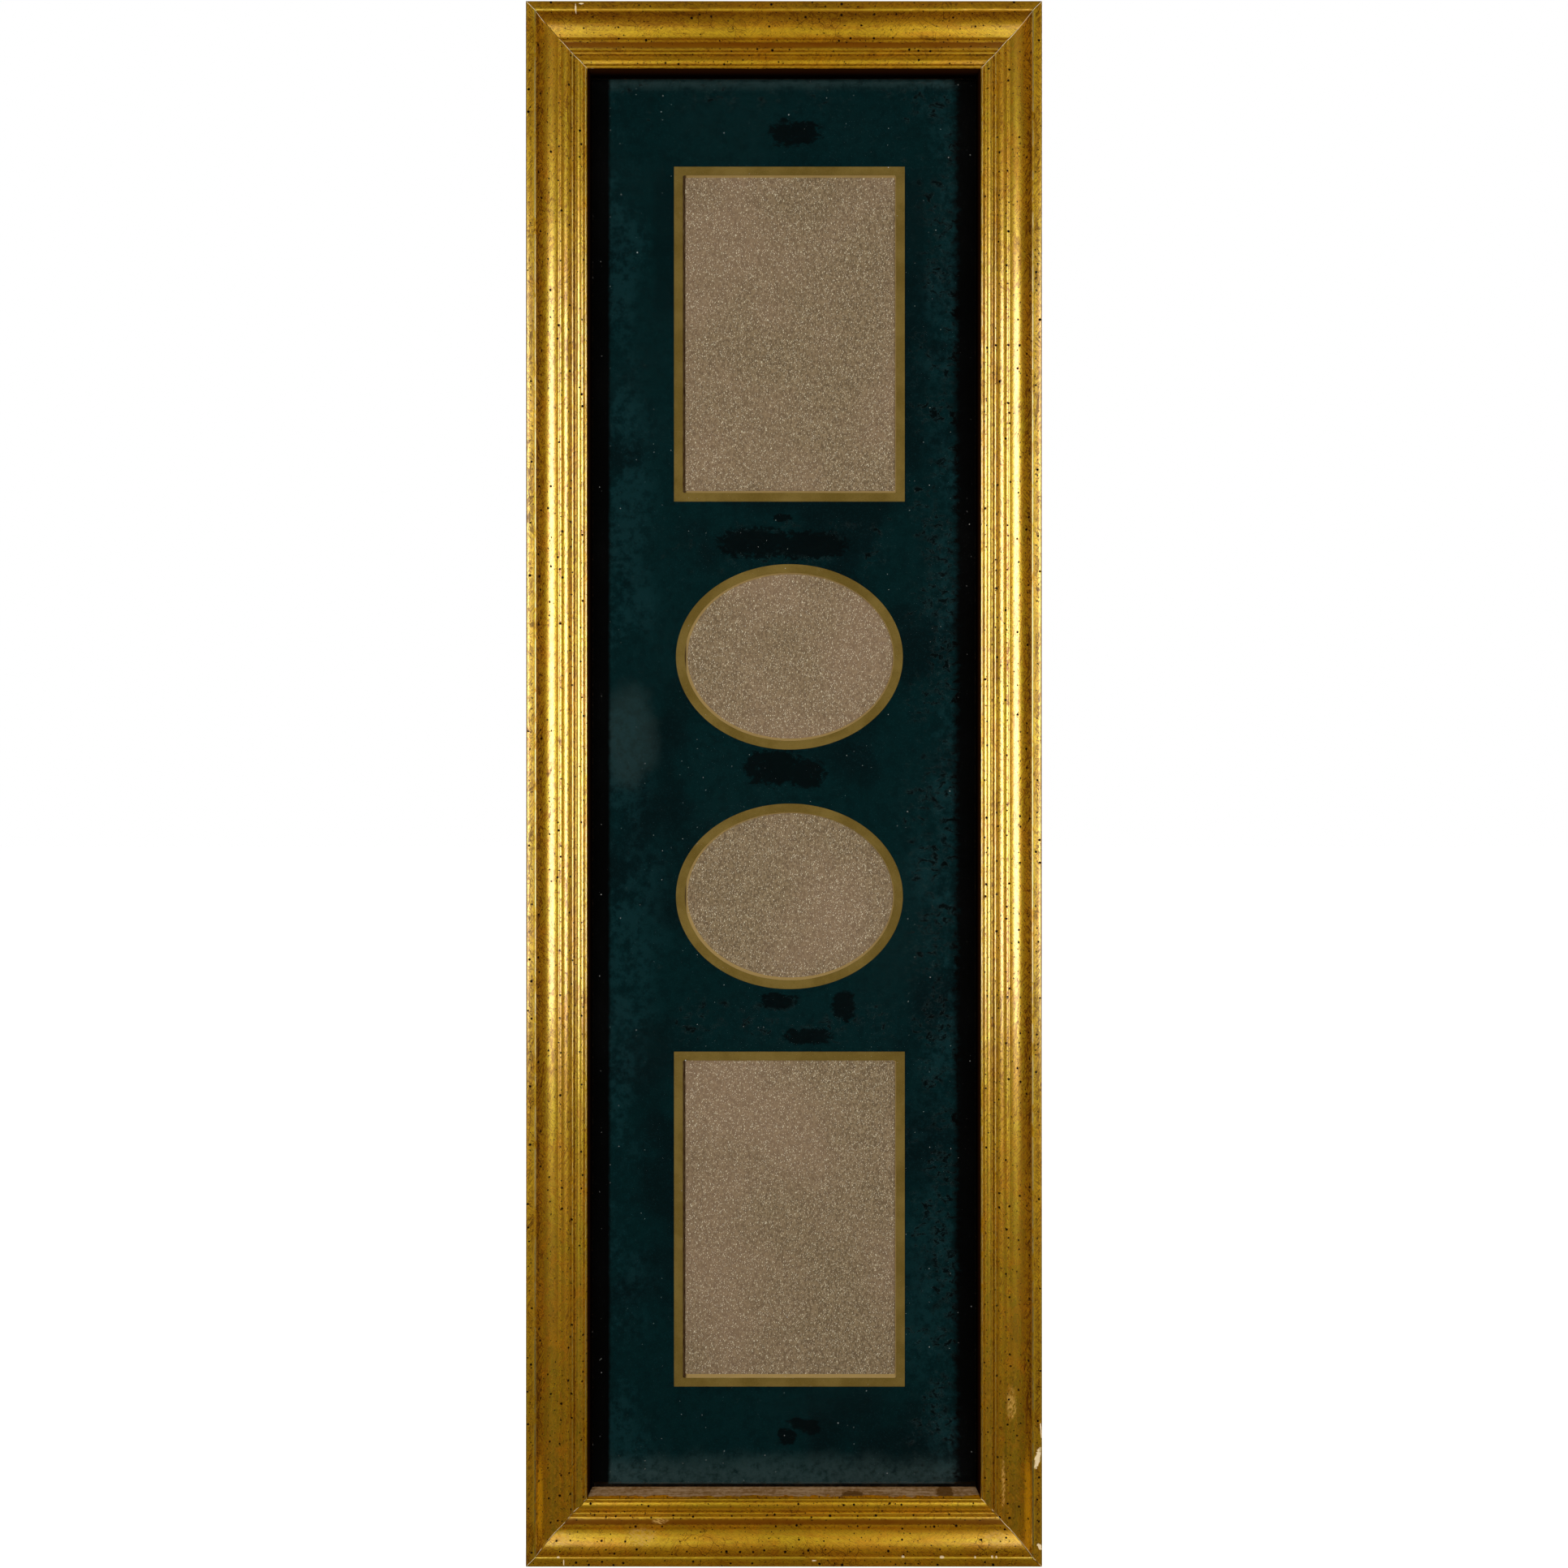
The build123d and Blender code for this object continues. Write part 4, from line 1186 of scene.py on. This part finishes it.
def makeFloor():
    half = studio["floorSize"] / 2
    low = cadBox[0].z - studio["floorGap"]
    mesh = bpy.data.meshes.new("floor")
    corners = [(-half, -half, low), (half, -half, low), (half, half, low), (-half, half, low)]
    mesh.from_pydata(corners, [], [(0, 1, 2, 3)])
    floor = addObject("floor", mesh)
    material, tree, shader = newMaterial("paleFloor")
    tree.nodes.remove(shader)
    matt = newNode(tree, "ShaderNodeBsdfDiffuse", {"Color": studio["floorPale"]})
    glow = newNode(tree, "ShaderNodeEmission", {"Strength": studio["floorGlow"]})
    seen = Flow(newNode(tree, "ShaderNodeLightPath").outputs["Is Camera Ray"])
    blend = blended(seen * (1 - studio["shadowShare"]), matt, glow)
    showSurface(tree, blend)
    mesh.materials.append(material)
    floor.visible_glossy = False


# The dark side of the studio, which only reflections see
def makeDarkSide():
    material, tree, shader = newMaterial("darkCard")
    tree.nodes.remove(shader)
    glow = newNode(tree, "ShaderNodeEmission", {"Color": studio["roomTint"], "Strength": studio["roomLevel"]})
    showSurface(tree, glow)
    build = bmesh.new()
    bmesh.ops.create_uvsphere(build, u_segments=32, v_segments=16, radius=studio["roomRadius"])
    behind = [v for v in build.verts if v.co.y > studio["roomOpen"]]
    bmesh.ops.delete(build, geom=behind, context="VERTS")
    bmesh.ops.translate(build, verts=build.verts, vec=(0, 0, centreZ))
    card = builtObject("darkSide", build, material)
    card.visible_camera = False
    card.visible_diffuse = False
    card.visible_transmission = False
    card.visible_shadow = False


def addLamp(name, width, height, level, place, aim):
    lamp = bpy.data.lights.new(name, "AREA")
    lamp.shape = "RECTANGLE"
    lamp.size = width
    lamp.size_y = height
    lamp.energy = level * math.pi * lamp.size * lamp.size_y
    box = addObject(name, lamp)
    box.location = place
    box.rotation_euler = (Vector(aim) - box.location).to_track_quat("-Z", "Y").to_euler()
    box.visible_camera = False
    return lamp


# A box on either side in front, and a third one behind for the back of the frame
def makeLamps():
    for name, side in (("softBoxLeft", -1), ("softBoxRight", 1)):
        angle = math.radians(studio["boxAzimuth"]) * side
        place = Vector((math.sin(angle), -math.cos(angle), 0)) * studio["boxDistance"]
        place.z = studio["boxHeightAt"]
        lamp = addLamp(
            name, studio["boxWidth"], studio["boxHeight"], studio["boxLevel"], place, (0, 0, place.z))
        lamp.color = studio["boxTint"]
    size = studio["backSize"]
    addLamp("softBoxBack", size, size, studio["backLevel"], studio["backPlace"], (0, 0, centreZ))


def makeWorld():
    world = bpy.data.worlds.new("studio")
    bpy.context.scene.world = world
    world.use_nodes = True
    tree = world.node_tree
    plain = tree.nodes["Background"]
    feedAll(plain, {"Color": (1, 1, 1, 1), "Strength": studio["worldLevel"]})
    white = newNode(tree, "ShaderNodeBackground", {"Color": (1, 1, 1, 1), "Strength": 1.0})
    rays = newNode(tree, "ShaderNodeLightPath").outputs
    seen = largest(rays["Is Camera Ray"], rays["Is Glossy Ray"], rays["Is Transmission Ray"])
    blend = blended(seen, plain, white)
    feed(tree.nodes["World Output"].inputs["Surface"], blend)


view = {"distance": 0.6, "height": -0.3051, "lens": 31.94, "sensor": 36.0, "shift": -0.028, "nearest": 0.01}


def makeCamera():
    camera = bpy.data.cameras.new("camera")
    camera.lens = view["lens"]
    camera.sensor_width = view["sensor"]
    camera.shift_y = view["shift"]
    camera.clip_start = view["nearest"]
    eye = addObject("camera", camera)
    eye.location = (0, -faceDepth - view["distance"], view["height"])
    eye.rotation_euler = (math.radians(90), 0, 0)
    bpy.context.scene.camera = eye


makeFloor()
makeDarkSide()
makeLamps()
makeWorld()
makeCamera()
bpy.context.scene.view_settings.view_transform = "Standard"
print("studio made")
